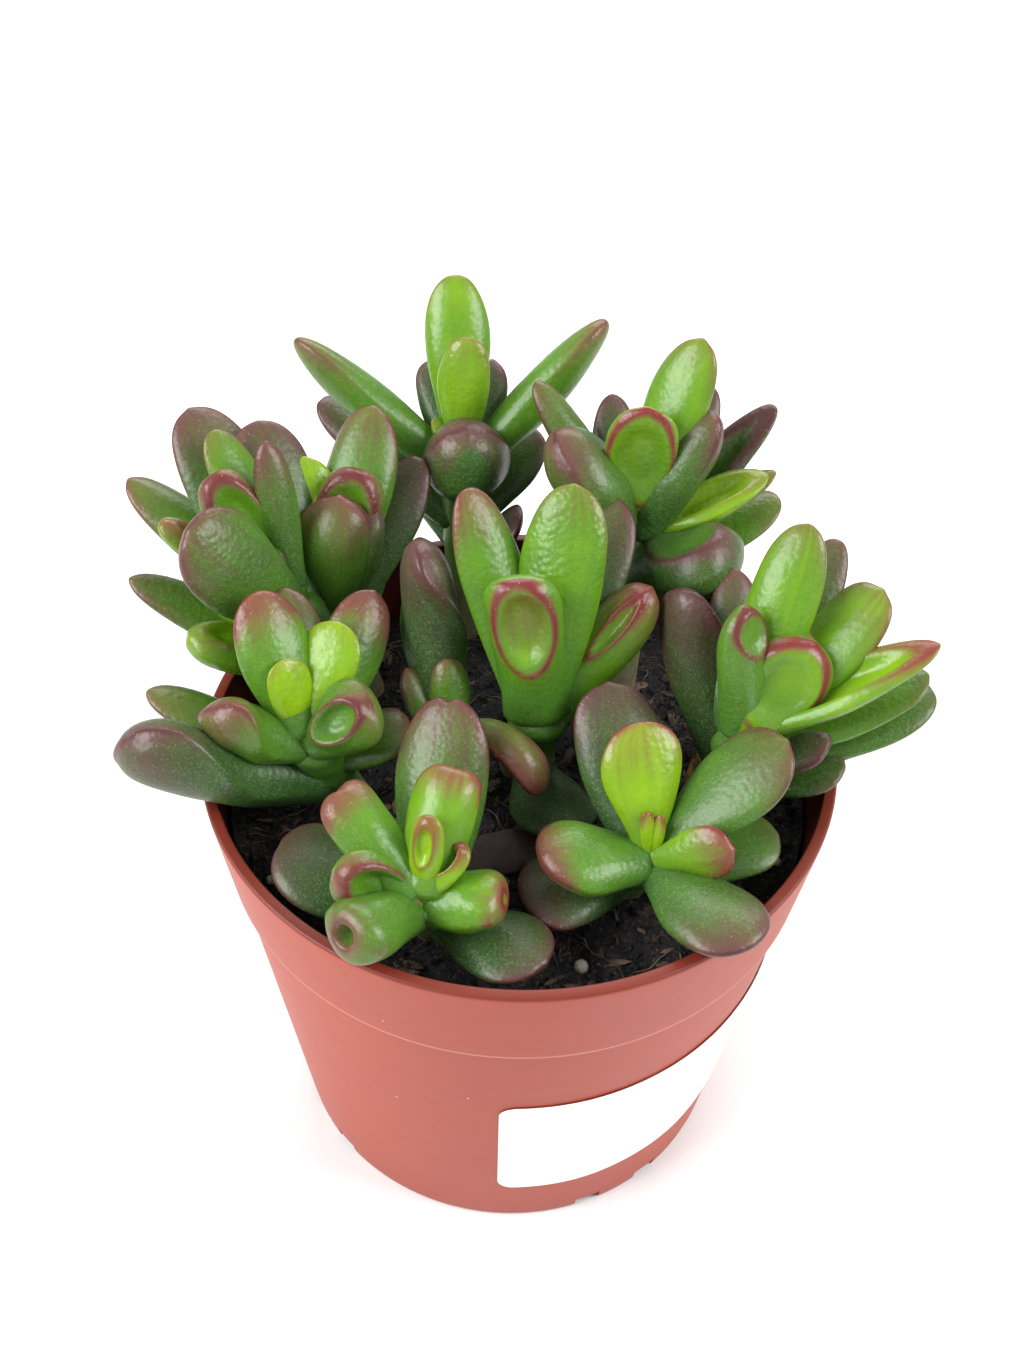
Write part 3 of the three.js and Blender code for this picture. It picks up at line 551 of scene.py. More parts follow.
strand_at = on_soil(FIBRES, fibre_draw, top_radius - 2)
strand_long = between(FIBRE_LONG, fibre_draw.uniform(0, 1, FIBRES) ** 1.6)
strand_thick = between(FIBRE_THICK, fibre_draw.uniform(0, 1, FIBRES) ** 2)
strands = fibre_points(
    strand_at, fibre_draw.uniform(0, 2 * np.pi, FIBRES), strand_long, strand_thick, fibre_draw)
strand_step = FIBRE_STEPS * FIBRE_SIDES * np.arange(FIBRES)[:, None, None]
ends = np.arange(FIBRE_SIDES - 2)
start_cap = np.stack([np.zeros_like(ends), ends + 2, ends + 1], -1)
end_cap = np.stack([np.zeros_like(ends), ends + 1, ends + 2], -1) + (FIBRE_STEPS - 1) * FIBRE_SIDES

coir, tree, surface, where = new_material("coir_and_peat_fibre")
# Coir is a dull tan and peat strands are dark brown: the colour changes from strand to strand,
# over some 4 mm.
strand_noise = add_node(tree, "TexNoise", {"Vector": where, "Scale": 260.0, "Detail": 2.0})
tan = add_node(tree, "MapRange", {"Value": strand_noise, "From Min": 0.42, "From Max": 0.66})
strand_colour = add_node(tree, "Mix", {0: tan, 6: "#30241f", 7: "#75634f"}, data_type="RGBA")
strand_skin = add_node(tree, "BsdfPrincipled", {
    "Base Color": strand_colour, "Roughness": 0.75, "IOR": 1.45})
tree.links.new(strand_skin.outputs[0], surface)

fibres = add_piece(
    "soil_fibres", strands.reshape(-1, 3),
    (tube_faces(FIBRE_STEPS, FIBRE_SIDES) + strand_step).reshape(-1, 4),
    (np.concatenate([start_cap, end_cap]) + strand_step).reshape(-1, 3), coir)
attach(fibres, "root")


# Leafy stems: ten fleshy stems of the jade, each with stalkless leaves that swell from the stem.
# Leaves are plump water stores with a thin waxy skin: young ones lime, old ones dark green, and
# the sun turns their tips burgundy. Some are open at the tip, with a rolled lip round a hollow.
#   thick  greatest thickness over greatest width    full      how far the upper side bulges
#   neck   width at the base                         peak      where the tip starts to close
#   tip    2 closes round, more squares it off       end_thick thickness left near the tip
#   keel   how far in mm the sides fold up           ridge     how far in mm they stand out
#   bend   curl towards the face in degrees          twist     turn of the tip in degrees
#   roll   turn of the whole leaf round its length   pebble    strength of the skin's orange peel
#   open_from, open_to  where the hollow starts and ends
#   open_wide, depth    the hollow's share of the width and of the thickness
#   lip    roll of the hollow's edge in mm
#   hole   depth and radius in mm of a hole in the very tip, notch  depth of a dent in it
#   calm   below 1 the burgundy starts higher up; red adds it all over and cap over the tip, rim
#          adds it on the lip, inner takes it out of the hollow, and wedge is the direction round
#          the leaf, in degrees, of a green streak through it
# PLAIN holds what a leaf has unless its form or its own row says otherwise.
PLAIN = dict(keel=0, ridge=0.22, bend=0, twist=0, roll=0, open_to=0.94, notch=0,
             calm=1, red=0, cap=0, rim=0.7, inner=0.12)
FORMS = {
    "spoon": dict(thick=0.52, full=0.75, neck=0.42, peak=0.66, tip=2.2, end_thick=0.75),
    "tongue": dict(thick=0.66, full=0.85, neck=0.6, peak=0.61, tip=2.15, end_thick=0.75),
    "finger": dict(thick=0.86, full=0.95, neck=0.72, peak=0.62, tip=2.3, end_thick=0.8),
    "trumpet": dict(thick=0.9, full=1.0, neck=0.6, peak=0.8, tip=2.8, end_thick=0.95),
    "scoop": dict(thick=0.7, full=0.95, neck=0.58, peak=0.66, tip=2.5, end_thick=0.9,
                  open_from=0.45, open_wide=0.6, depth=0.95, lip=0.35),
    "boat": dict(thick=0.6, full=0.75, neck=0.45, peak=0.55, tip=1.9, end_thick=0.7,
                 keel=0.8, open_from=0.15, open_wide=0.7, depth=0.8, lip=0.15),
}

# root is where the stem leaves the soil, tip is its growing point. Each leaf row is form, share of
# the way up the stem, turn, rise over level, length, width, age from 0 young to 1 old, blush from
# 0 green to 1 burgundy, and what differs from its form.
SHOOTS = {
    "shoot_front_right": dict(root=(17, -20), tip=(20, -25.5, 84), thick=6.5, leaves=[
        ("spoon", 1.0, 102, 53, 21, 12, 0.06, 0.75, dict(neck=0.32, calm=0.95)),
        ("tongue", 1.0, -18, 32, 14, 6.5, 0.25, 0.9,
         dict(roll=65, ridge=0.8, thick=0.7, peak=0.74, red=0.1)),
        ("tongue", 0.9, -166, 19, 18, 13, 0.55, 0.6, dict(calm=0.9, cap=0.3)),
        ("spoon", 0.9, 25, 40, 28, 14, 0.7, 0.6, {}),
        ("spoon", 0.6, 14, 9, 22, 13, 0.7, 0.2, {}),
        ("spoon", 0.85, -52, 12, 24, 14, 0.8, 0.9, {}),
        ("spoon", 0.4, -155, 8, 19, 14, 0.95, 0.9, {}),
        ("spoon", 0.6, 103, 39, 29, 14, 0.9, 0.9, {}),
        ("finger", 1.0, 118, 76, 9, 2.2, 0.0, 0.6, {}),
        ("finger", 1.0, 60, 74, 8, 2.2, 0.0, 0.6, {}),
    ]),
    "shoot_front_left": dict(root=(-12, -29), tip=(-14, -36, 86), thick=6.5, leaves=[
        ("finger", 1.0, 140, 34, 20, 9.5, 0.42, 0.7,
         dict(notch=0.7, tip=3.0, peak=0.7, calm=0.7, cap=0.5)),
        ("finger", 1.0, 72, 41, 20, 10, 0.25, 0.7,
         dict(notch=0.7, tip=3.0, peak=0.7, calm=0.66, cap=0.5)),
        ("scoop", 1.0, 69, 70, 14, 5, 0.1, 0.5, dict(depth=0.6, lip=0.2)),
        ("scoop", 1.0, 29, 45, 11, 5, 0.1, 0.5, {}),
        ("scoop", 0.9, -170, 36, 15, 9, 0.5, 0.8,
         dict(roll=-60, open_from=0.15, open_wide=0.75, depth=0.7, lip=0.6, calm=0.8)),
        ("trumpet", 0.7, -132, 27, 18, 10.5, 0.6, 0.6, dict(hole=(3.5, 1.2), calm=0.85)),
        ("finger", 0.8, -9, 19, 13, 10, 0.35, 0.7,
         dict(tip=2.8, peak=0.72, hole=(0.5, 0.8), calm=0.72, cap=0.25)),
        ("spoon", 0.4, 163, 15, 25, 16, 0.95, 0.7, {}),
        ("spoon", 0.3, -33, 12, 21, 13, 0.95, 0.7, {}),
        ("tongue", 0.4, 86, 40, 33, 13.5, 0.75, 0.85, dict(bend=10, notch=1.2, twist=-15, ridge=0.5)),
    ]),
    "shoot_left_low": dict(root=(-26, -5), tip=(-33, -10, 91), thick=7, leaves=[
        ("tongue", 1.0, 122, 52, 24, 11, 0.45, 0.85, dict(calm=0.82, cap=0.4)),
        ("tongue", 0.9, 104, 38, 25, 10, 0.7, 0.7, {}),
        ("spoon", 1.0, 127, 69, 14, 7, 0.0, 0.2, {}),
        ("spoon", 1.0, 68, 49, 19, 10, 0.1, 0.15, {}),
        ("tongue", 0.9, 64, 38, 26, 9.5, 0.6, 0.8, dict(roll=35, ridge=0.5, calm=0.82, cap=0.45)),
        ("tongue", 0.6, 168, 19, 30, 8, 0.55, 0.5, {}),
        ("tongue", 0.9, -167, 29, 18, 10, 0.6, 0.7,
         dict(bend=25, twist=65, ridge=0.9, thick=0.85, end_thick=1, peak=0.72)),
        ("tongue", 0.8, 171, 33, 15, 5, 0.4, 0.1, {}),
        ("scoop", 0.95, 6, 37, 14, 11, 0.6, 0.9,
         dict(roll=42, bend=15, open_from=0.25, open_wide=0.5, depth=0.4, lip=0.7, calm=0.8)),
        ("spoon", 0.6, 23, 24, 15, 10, 0.7, 0.7, {}),
        ("tongue", 0.45, -160, 23, 36, 14.5, 0.92, 0.9,
         dict(thick=0.8, bend=20, twist=70, ridge=1.0, end_thick=1, peak=0.76, calm=0.82, cap=0.1)),
    ]),
    "shoot_centre": dict(root=(1, 4), tip=(3, -1, 90), thick=8, leaves=[
        ("tongue", 0.9, 125, 55, 38, 10.5, 0.45, 0.5, dict(neck=0.8, calm=0.85, cap=0.25)),
        ("spoon", 1.0, 78, 59, 36, 13, 0.35, 0.3, dict(thick=0.62, neck=0.7, pebble=1)),
        ("spoon", 0.8, 67, 39, 38, 12, 0.85, 0.8, {}),
        ("trumpet", 0.88, 138, 79, 27, 11, 0.4, 1.0,
         dict(roll=-48, thick=0.8, neck=0.95, end_thick=0.65, open_from=0.45, open_to=1.0,
              open_wide=0.8, depth=0.5, lip=0.3, calm=0.55, inner=-0.3)),
        ("tongue", 1.0, 60, 55, 16, 7, 0.2, 0.1, {}),
        ("scoop", 0.8, 35, 42, 28, 9, 0.35, 0.8,
         dict(roll=25, neck=0.85, open_from=0.5, open_wide=0.3, depth=0.3, lip=0.5)),
        ("spoon", 0.2, -72, 11, 21, 13, 0.95, 0.1, {}),
    ]),
    "shoot_right": dict(root=(35, -3), tip=(33.5, -8, 93), thick=7.5, leaves=[
        ("tongue", 1.0, 64, 55, 34, 10.5, 0.3, 0.25, {}),
        ("tongue", 0.7, 59, 39, 38, 8.5, 0.8, 0.6, {}),
        ("spoon", 0.9, 32, 41, 32, 11.5, 0.3, 0.45, dict(peak=0.72, tip=2.5)),
        ("boat", 1.0, 7, 32, 33, 9.5, 0.25, 0.7, dict(calm=0.9, rim=0.25)),
        ("spoon", 0.7, 14, 23, 32, 10, 0.55, 0.2, {}),
        ("spoon", 0.5, 18, 17, 34, 13, 0.7, 0.2, {}),
        ("scoop", 1.0, 28, 53, 19, 13, 0.3, 1.0,
         dict(roll=50, open_from=0.2, open_to=0.98, open_wide=0.84, depth=0.4, lip=0.25, tip=2.1,
              calm=0.55, rim=0.7)),
        ("spoon", 1.0, 43, 48, 19, 11, 0.15, 0.5, {}),
        ("finger", 1.0, 99, 73, 22, 8.5, 0.55, 0.9,
         dict(roll=35, open_from=0.68, open_to=0.98, open_wide=0.7, depth=0.3, lip=0.35, calm=0.7)),
        ("tongue", 0.6, 93, 41, 31, 9, 0.85, 0.9, {}),
        ("finger", 0.3, 123, 49, 34, 9, 0.95, 0.95,
         dict(bend=20, ridge=0.9, twist=-70, peak=0.78, red=0.2)),
        ("spoon", 0.6, -9, 33, 16, 10, 0.95, 0.9, {}),
        ("spoon", 0.4, -12, 24, 18, 10, 0.85, 0.3, {}),
        ("spoon", 0.6, 45, 12, 28, 11, 0.8, 0.3, {}),
    ]),
    "shoot_inner": dict(root=(-9, -7), tip=(-10, -3, 85), thick=6, leaves=[
        ("tongue", 0.9, 112, 48, 34, 10, 0.95, 0.95,
         dict(bend=25, thick=0.85, twist=-110, ridge=1.1, end_thick=1, peak=0.8)),
        ("finger", 0.5, 139, 55, 20, 6, 0.7, 0.6, {}),
        ("finger", 0.9, 109, 65, 15, 6, 0.6, 0.5, {}),
        ("finger", 1.0, -38, 48, 22, 5.8, 0.55, 1.0, dict(bend=-120, red=0.5, peak=0.75, ridge=0.5)),
    ]),
    "shoot_left_inner": dict(root=(-27, 21), tip=(-32, 20, 92), thick=7, leaves=[
        ("tongue", 1.0, 73, 46, 33, 12, 0.6, 0.6, {}),
        ("spoon", 1.0, 107, 53, 24, 9.5, 0.1, 0.1, {}),
        ("tongue", 1.0, 92, 60, 19, 6, 0.1, 0.2, {}),
        ("scoop", 0.95, 68, 61, 24, 11, 0.55, 0.95,
         dict(roll=14, open_from=0.35, open_to=0.97, open_wide=0.82, depth=0.5, lip=0.4, calm=0.75)),
        ("tongue", 0.9, 77, 74, 21, 12.5, 0.65, 0.95,
         dict(thick=0.85, full=1.0, end_thick=0.95, tip=2.0, peak=0.62)),
        ("scoop", 0.9, 58, 58, 20, 12, 0.85, 0.8, dict(roll=-25)),
        ("tongue", 0.7, 59, 41, 32, 9.5, 0.95, 0.9, {}),
        ("spoon", 0.5, 88, 22, 24, 11, 0.8, 0.4, {}),
    ]),
    "shoot_left": dict(root=(-28, 13), tip=(-36.5, 16, 98), thick=7, leaves=[
        ("spoon", 0.8, 132, 39, 39, 14.5, 0.8, 0.7, dict(calm=0.9, cap=0.2)),
        ("spoon", 0.85, 113, 43, 32, 13, 0.85, 0.7, dict(calm=0.9, cap=0.2)),
        ("tongue", 0.95, 135, 48, 30, 8.5, 0.4, 0.3, {}),
        ("finger", 1.0, 118, 67, 25, 6, 0.7, 0.8, {}),
        ("tongue", 0.7, 152, 27, 39, 10, 0.55, 0.5, {}),
        ("scoop", 0.8, -176, 44, 30, 7, 0.3, 0.4, {}),
        ("scoop", 0.95, 158, 54, 25, 9.5, 0.5, 0.85,
         dict(roll=-40, open_from=0.3, open_to=0.97, open_wide=0.8, depth=0.55, lip=0.45, calm=0.75)),
        ("spoon", 0.8, -151, 54, 31, 15, 0.7, 0.6, dict(roll=-60, thick=0.7, pebble=1)),
        ("tongue", 0.4, 172, 25, 36, 9, 0.65, 0.5, {}),
        ("scoop", 0.5, -157, 28, 25, 10, 0.3, 0.15, dict(depth=0.3, lip=0.2)),
        ("scoop", 0.7, -165, 36, 19, 9, 0.25, 0.15, dict(depth=0.3, lip=0.2)),
        ("spoon", 0.45, 140, 15, 30, 12, 0.8, 0.3, {}),
    ]),
    "shoot_back_right": dict(root=(16, 23), tip=(18, 31, 103), thick=7, leaves=[
        ("tongue", 1.0, 54, 61, 31, 11, 0.3, 0.3, {}),
        ("spoon", 1.0, 84, 84, 21, 11.5, 0.25, 1.0,
         dict(open_from=0.2, open_to=0.98, open_wide=0.88, depth=0.4, lip=0.2, calm=0.45, rim=0.7)),
        ("finger", 0.9, 26, 58, 25, 9.5, 0.8, 0.8, {}),
        ("tongue", 0.8, 59, 42, 31, 9, 0.8, 0.7, {}),
        ("boat", 0.7, 40, 35, 37, 8.5, 0.9, 0.8, {}),
        ("finger", 0.9, 139, 42, 30, 6.5, 0.7, 0.6, {}),
        ("tongue", 0.7, 100, 43, 30, 8, 0.9, 0.8, {}),
        ("spoon", 0.9, 164, 51, 23, 14.5, 0.75, 0.9,
         dict(roll=20, thick=0.8, full=1.0, end_thick=1.0, tip=2.0, peak=0.55, red=0.12, wedge=195)),
        ("boat", 0.9, 12, 25, 24, 9, 0.15, 0.15, {}),
        ("tongue", 0.8, 20, 26, 27, 6, 0.2, 0.4, {}),
        ("spoon", 0.6, 25, 23, 30, 10, 0.5, 0.3, {}),
        ("scoop", 0.7, -30, 34, 22, 16, 0.85, 0.8,
         dict(thick=0.75, open_from=0.35, open_wide=0.72, depth=0.2, lip=0.35, calm=0.7)),
        ("spoon", 0.5, 111, 34, 28, 9, 0.9, 0.7, {}),
        ("spoon", 0.5, 72, 14, 32, 12, 0.8, 0.3, {}),
    ]),
    "shoot_back": dict(root=(-9.5, 37), tip=(-11.5, 47, 104), thick=6.5, leaves=[
        ("tongue", 1.0, 95, 53, 29, 10.5, 0.25, 0.15, dict(bend=6)),
        ("tongue", 1.0, 82, 76, 20, 8.5, 0.18, 0.3, {}),
        ("spoon", 0.75, -75, 79, 17, 14.5, 0.85, 0.85,
         dict(thick=0.95, full=1.0, end_thick=1.0, peak=0.5, tip=2.0, red=0.15, wedge=0)),
        ("finger", 0.85, 161, 34, 36, 9, 0.55, 0.5, dict(roll=50)),
        ("finger", 0.85, 31, 40, 36, 9, 0.5, 0.5, dict(roll=-50)),
        ("tongue", 0.9, 111, 33, 20, 8, 0.85, 0.6, {}),
        ("tongue", 0.9, 73, 33, 20, 8, 0.85, 0.8, {}),
        ("tongue", 1.0, 173, 47, 7, 5, 0.2, 0.1, {}),
        ("spoon", 0.35, 2, 54, 16, 9, 0.95, 0.9, {}),
        ("spoon", 0.55, 50, 34, 22, 10, 0.85, 0.6, {}),
        ("tongue", 0.6, 150, 27, 33, 10, 0.9, 0.8, {}),
        ("spoon", 0.45, 84, 10, 28, 12, 0.8, 0.3, {}),
        ("tongue", 0.45, 122, 26, 26, 9, 0.8, 0.3, {}),
    ]),
}
LEAF_SIDES = 56
BODY_ROWS = 24
TIP_ROWS = 20
STEM_SIDES = 40
STEM_ROWS = 36
ROOT_DEPTH = 11
ROOT_SHARE = 0.3
TIP_ANGLE = 88
FOOT_SHARE = 0.07
LEAF_LUMPS = (0.025, 0.02)
LEAF_SWAY = 0.03
TIP_DENTS = (-0.45, 0.15)
CURL_FROM = 0.2
STEM_SWELLING = 0.07
leaf_draw = np.random.default_rng(21)


def ease(t):
    """Smooth step from 0 to 1: three times the square of t less twice its cube."""
    k = np.clip(t, 0, 1)
    return k * k * (3 - 2 * k)


def leaf_surface(long, wide, form, draw):
    """One leaf in its own frame, x across, y towards the face, z along. Rows are flat ovals whose
    half width and half thickness ease up from the base; past the peak both are multiplied by the
    cosine, and the way to the tip by the sine, of an angle that runs to TIP_ANGLE, which closes
    the tip round. Two waves round each row make it lumpy, and a bell curve draws its sides out to
    a ridge. The hollow sinks the upper side inside an oval and lifts its lip; the hole and the
    notch are bell curves down into the tip, and TIP_DENTS adds a random small notch, or a point
    where it is below 0. The leaf sways sideways in a sine wave, the keel grows with the square of
    the way to the side, and the twist eases in up the leaf.
    Returns the points and for each its margin, in mm from the side or from the lip; its reach,
    which is how far up it counts for the burgundy; how much fresher it is; and its angle round
    the leaf."""
    thick = wide * form["thick"]
    neck_thick = min(1, form["neck"] * wide / thick) * 0.95
    power = 2 / form["tip"]
    angle = np.radians(np.linspace(0, TIP_ANGLE, TIP_ROWS))
    t_body = form["peak"] * np.arange(BODY_ROWS) / BODY_ROWS
    t_tip = form["peak"] + (1 - form["peak"]) * np.sin(angle) ** power
    t = np.concatenate([t_body, t_tip])[:, None]
    foot = np.sqrt(1 - (1 - np.clip(t_body / FOOT_SHARE, 0.12, 1)) ** 2)
    close = np.concatenate([foot, np.cos(angle) ** power])[:, None]
    half_wide = wide / 2 * (form["neck"] + (1 - form["neck"]) * ease(t / form["peak"])) * close
    swell = neck_thick + (1 - neck_thick) * ease(t / 0.5)
    thin = 1 - (1 - form["end_thick"]) * ease((t - 0.5) / 0.5)
    half_thick = thick / 2 * swell * thin * close

    around = 2 * np.pi * np.arange(LEAF_SIDES) / LEAF_SIDES
    side, face = np.sin(around), -np.cos(around)
    lumps = LEAF_LUMPS[0] * np.sin(2 * around + 7 * t + draw.uniform(0, 6))
    lumps = lumps + LEAF_LUMPS[1] * np.sin(3 * around - 11 * t + draw.uniform(0, 6))
    x = half_wide * side * (1 + lumps)
    y = half_thick * np.where(face > 0, form["full"], 1) * face * (1 + lumps)
    z = long * t + 0 * around

    to_side = np.sqrt((half_wide - np.abs(x)) ** 2 + y ** 2)
    ridge = form["ridge"]
    x = x + ridge * np.exp(-(to_side / (0.6 + 0.5 * ridge)) ** 2) * side * ease(t / 0.7) * close ** 0.5
    margin, reach, fresh = to_side, form["calm"] * t + 0 * around, 0 * x
    if "open_from" in form:
        end = form["open_to"]
        middle, half = (form["open_from"] + end) / 2, (end - form["open_from"]) / 2
        out = np.sqrt((2 * x / wide / form["open_wide"]) ** 2 + ((t - middle) / half) ** 2)
        upper = ease(face / 0.25)
        sink = form["depth"] * half_thick * (1 - ease((out - 0.42) / 0.52))
        roll = form["lip"] * np.exp(-((out - 1.04) / 0.18) ** 2) * ease(close / 0.3)
        y = y + upper * (roll - sink)
        margin = np.abs(out - 1) * 0.5 * wide * form["open_wide"] + 6 * (1 - upper)
        inside = upper * (1 - ease((out - 0.6) / 0.35))
        on_lip = upper * np.exp(-((out - 1.05) / 0.18) ** 2)
        reach = reach + form["rim"] * on_lip * (1 - reach) - form["inner"] * inside
        fresh = 0.12 * inside
    if "hole" in form:
        deep, radius = form["hole"]
        middle_out = np.hypot(x, y)
        z = z - deep * np.exp(-(middle_out / radius) ** 2.5) * ease((t - 0.8) / 0.1)
        margin = np.where(t > 0.9, np.abs(middle_out - 1.6 * radius), margin)
        at_end = ease((t - 0.85) / 0.1)
        ring = np.exp(-((middle_out - 2 * radius) / (0.8 * radius)) ** 2)
        reach = reach + 0.5 * ring * (1 - reach) * at_end
        reach = reach - 0.35 * np.exp(-(middle_out / radius) ** 2) * at_end
    reach = reach + form["red"] * (1 - reach) + form["cap"] * ease((t - 0.6) / 0.38)
    if "wedge" in form:
        off = np.angle(np.exp(1j * (around - np.radians(form["wedge"]))))
        reach = reach - 0.85 * np.exp(-(off / 0.36) ** 2) * ease((0.97 - t) / 0.12)
    pinch = form["notch"] + draw.uniform(*TIP_DENTS)
    z = z - pinch * np.exp(-(x / 0.9) ** 2 - (y / 1.5) ** 2) * ease((t - 0.9) / 0.1)
    x = x + LEAF_SWAY * wide * np.sin(4 * t + draw.uniform(0, 6)) * t
    y = y + form["keel"] * (2 * x / wide) ** 2
    twist = np.radians(form["twist"]) * ease((t - 0.3) / 0.7)
    x, y = x * np.cos(twist) - y * np.sin(twist), x * np.sin(twist) + y * np.cos(twist)
    rows = np.stack([x, y, z], -1)
    points = np.concatenate([[[0, 0, 0]], rows.reshape(-1, 3), [rows[-1].mean(0)]])
    margin = np.concatenate([[9], margin.ravel(), margin[-1, :1]])
    reach = np.concatenate([[0], reach.ravel(), [1]])
    fresh = np.concatenate([[0], fresh.ravel(), [0]])
    turned = np.concatenate([[0], np.tile(around, BODY_ROWS + TIP_ROWS), [0]])
    return points, margin, reach, fresh, turned


def curl_leaf(points, long, bend):
    """Curls the leaf past CURL_FROM of its length, as an arc as long as the rest that turns by
    bend; each point keeps its distance from the arc."""
    angle_all = np.radians(bend)
    straight = CURL_FROM * long
    if abs(angle_all) < 1e-6:
        return points
    radius = (long - straight) / angle_all
    x, y, z = points.T
    angle = angle_all * np.clip(z - straight, 0, None) / (long - straight)
    curled_y = radius * (1 - np.cos(angle)) + y * np.cos(angle)
    curled_z = straight + radius * np.sin(angle) - y * np.sin(angle)
    past = z > straight
    return np.stack([x, np.where(past, curled_y, y), np.where(past, curled_z, z)], -1)


def stand_leaf(points, base, turn, rise, roll):
    """Turns a leaf from its own frame to its place on the stem: its length points along the turn
    and the rise, and the face, which looks up, goes round the length by the roll."""
    t, r, o = np.radians([turn, rise, roll])
    level, up = np.array([np.cos(t), np.sin(t), 0]), np.array([0, 0, 1])
    along = np.cos(r) * level + np.sin(r) * up
    facing = -np.sin(r) * level + np.cos(r) * up
    facing = facing * np.cos(o) + np.cross(along, facing) * np.sin(o)
    return base + points @ np.stack([np.cross(facing, along), facing, along])


def leaf_mesh(base, row, draw):
    """A placed leaf: points, quads, tris, and three vectors for each point. They are look, with
    age, blush and pebble; place, with margin, reach and cork; and grain, a place on a drum that
    the streaks run along."""
    name, _, turn, rise, long, wide, age, blush, changes = row
    form = {**PLAIN, **FORMS[name], **changes}
    points, margin, reach, fresh, turned = leaf_surface(long, wide, form, draw)
    points = curl_leaf(points, long, form["bend"])
    points = stand_leaf(points, base, turn, rise, form["roll"])
    quads = tube_faces(BODY_ROWS + TIP_ROWS, LEAF_SIDES, start=1)
    tris = end_fans(len(points) - 1, LEAF_SIDES)
    pick = draw.uniform(0, 1)
    pebble = form.get("pebble", 0.35 + 0.45 * pick)
    look = np.stack([age - fresh, blush + 0 * fresh, pebble + 0 * fresh], -1)
    place = np.stack([margin, reach, np.zeros(len(points))], -1)
    grain = np.stack([
        2.5 * np.cos(turned), 2.5 * np.sin(turned), 0.8 * reach + 9 * pick + 3 * age], -1)
    return points, quads, tris, look, place, grain


def stem_mesh(shoot):
    """A round stem: its share of the way is below 0 under the soil, where it stands straight, and
    from there it leans to its growing point. It is almost even in width, with a low swelling
    under each pair of leaves and a round end, and turns from cork at the soil to green skin."""
    root = np.array([*shoot["root"], SOIL_TOP])
    tip = np.array(shoot["tip"])
    deep = np.array([*shoot["root"], SOIL_TOP - ROOT_DEPTH])
    share = np.linspace(-ROOT_SHARE, 1, STEM_ROWS)
    centre = np.where(share[:, None] < 0, root + (root - deep) * share[:, None] / ROOT_SHARE,
                      root + (tip - root) * share[:, None])
    taper = np.interp(share, [-ROOT_SHARE, 0, 0.6, 1], [1, 1.05, 1.0, 1.05])
    for up in sorted({row[1] for row in shoot["leaves"]}):
        taper = taper + STEM_SWELLING * np.exp(-((share - up + 0.04) / 0.05) ** 2)
    taper = taper * np.sqrt(1 - 0.96 * np.clip((share - 0.85) / 0.15, 0, 1) ** 2)
    around = 2 * np.pi * np.arange(STEM_SIDES) / STEM_SIDES
    radius = shoot["thick"] / 2 * taper[:, None] * (1 + 0.04 * np.sin(2 * around + share[:, None] * 3))
    rings = centre[:, None] + np.stack([
        radius * np.cos(around), radius * np.sin(around), np.zeros_like(radius)], -1)
    top = tip + [0, 0, 1]
    points = np.concatenate([[deep], rings.reshape(-1, 3), [top]])
    quads = tube_faces(STEM_ROWS, STEM_SIDES, start=1)
    tris = end_fans(len(points) - 1, STEM_SIDES)
    row_share = np.concatenate([[0], np.repeat(share, STEM_SIDES), [1]])
    cork = 1 - ease((row_share - 0.05) / 0.6)
    turned = np.concatenate([[0], np.tile(around, STEM_ROWS), [0]])
    look = np.tile([0.6, 0.0, 0.2], (len(points), 1))
    place = np.stack([np.full(len(points), 9.0), np.full(len(points), 0.2), cork], -1)
    grain = np.stack([2.5 * np.cos(turned), 2.5 * np.sin(turned), 4 * row_share], -1)
    return points, quads, tris, look, place, grain


leaf_skin, tree, surface, where = new_material("waxy_jade_leaf_skin")
look = add_node(tree, "SeparateXYZ", {
    0: add_node(tree, "Attribute", {}, attribute_name="look").outputs["Vector"]})
place = add_node(tree, "SeparateXYZ", {
    0: add_node(tree, "Attribute", {}, attribute_name="place").outputs["Vector"]})
grain = add_node(tree, "Attribute", {}, attribute_name="grain").outputs["Vector"]
age, blush = look.outputs["X"], look.outputs["Y"]
margin, reach, cork = place.outputs["X"], place.outputs["Y"], place.outputs["Z"]
# Green: lime when young, grass green, then a dull dark green. Clouds of 6 mm and streaks along
# the leaf vary it, the base of every leaf is a deeper green, partly its own colour and partly
# painted shade, and a stipple of 0.3 mm greys it, the more the older the leaf is.
clouds = add_node(tree, "TexNoise", {"Vector": where, "Scale": 170.0, "Detail": 3.0})
streaks = add_node(tree, "TexNoise", {"Vector": grain, "Scale": 1.6, "Detail": 4.0, "Roughness": 0.6})
varied = add_node(tree, "Math", {0: clouds, 1: 0.3, 2: age}, operation="MULTIPLY_ADD")
streaked = add_node(tree, "Math", {0: streaks, 1: 0.22, 2: varied}, operation="MULTIPLY_ADD")
ripe = add_node(tree, "MapRange", {"Value": streaked, "From Min": 0.22, "From Max": 0.62})
old = add_node(tree, "MapRange", {"Value": streaked, "From Min": 0.62, "From Max": 1.2})
young_green = add_node(tree, "Mix", {0: ripe, 6: "#81a708", 7: "#518012"}, data_type="RGBA")
any_green = add_node(tree, "Mix", {0: old, 6: young_green, 7: "#2d4a20"}, data_type="RGBA")
base_shade_and_green = add_node(tree, "MapRange", {"Value": reach, "From Min": 0.5, "From Max": 0.05,
                                        "To Max": 0.45}, interpolation_type="SMOOTHSTEP")
based = add_node(tree, "Mix", {0: base_shade_and_green, 6: any_green, 7: "#31622a"}, data_type="RGBA")
stipple = add_node(tree, "TexNoise", {"Vector": where, "Scale": 3400.0, "Detail": 2.0})
stippled = add_node(tree, "MapRange", {"Value": stipple, "From Min": 0.5,
                                       "From Max": 0.72, "To Max": 0.36})
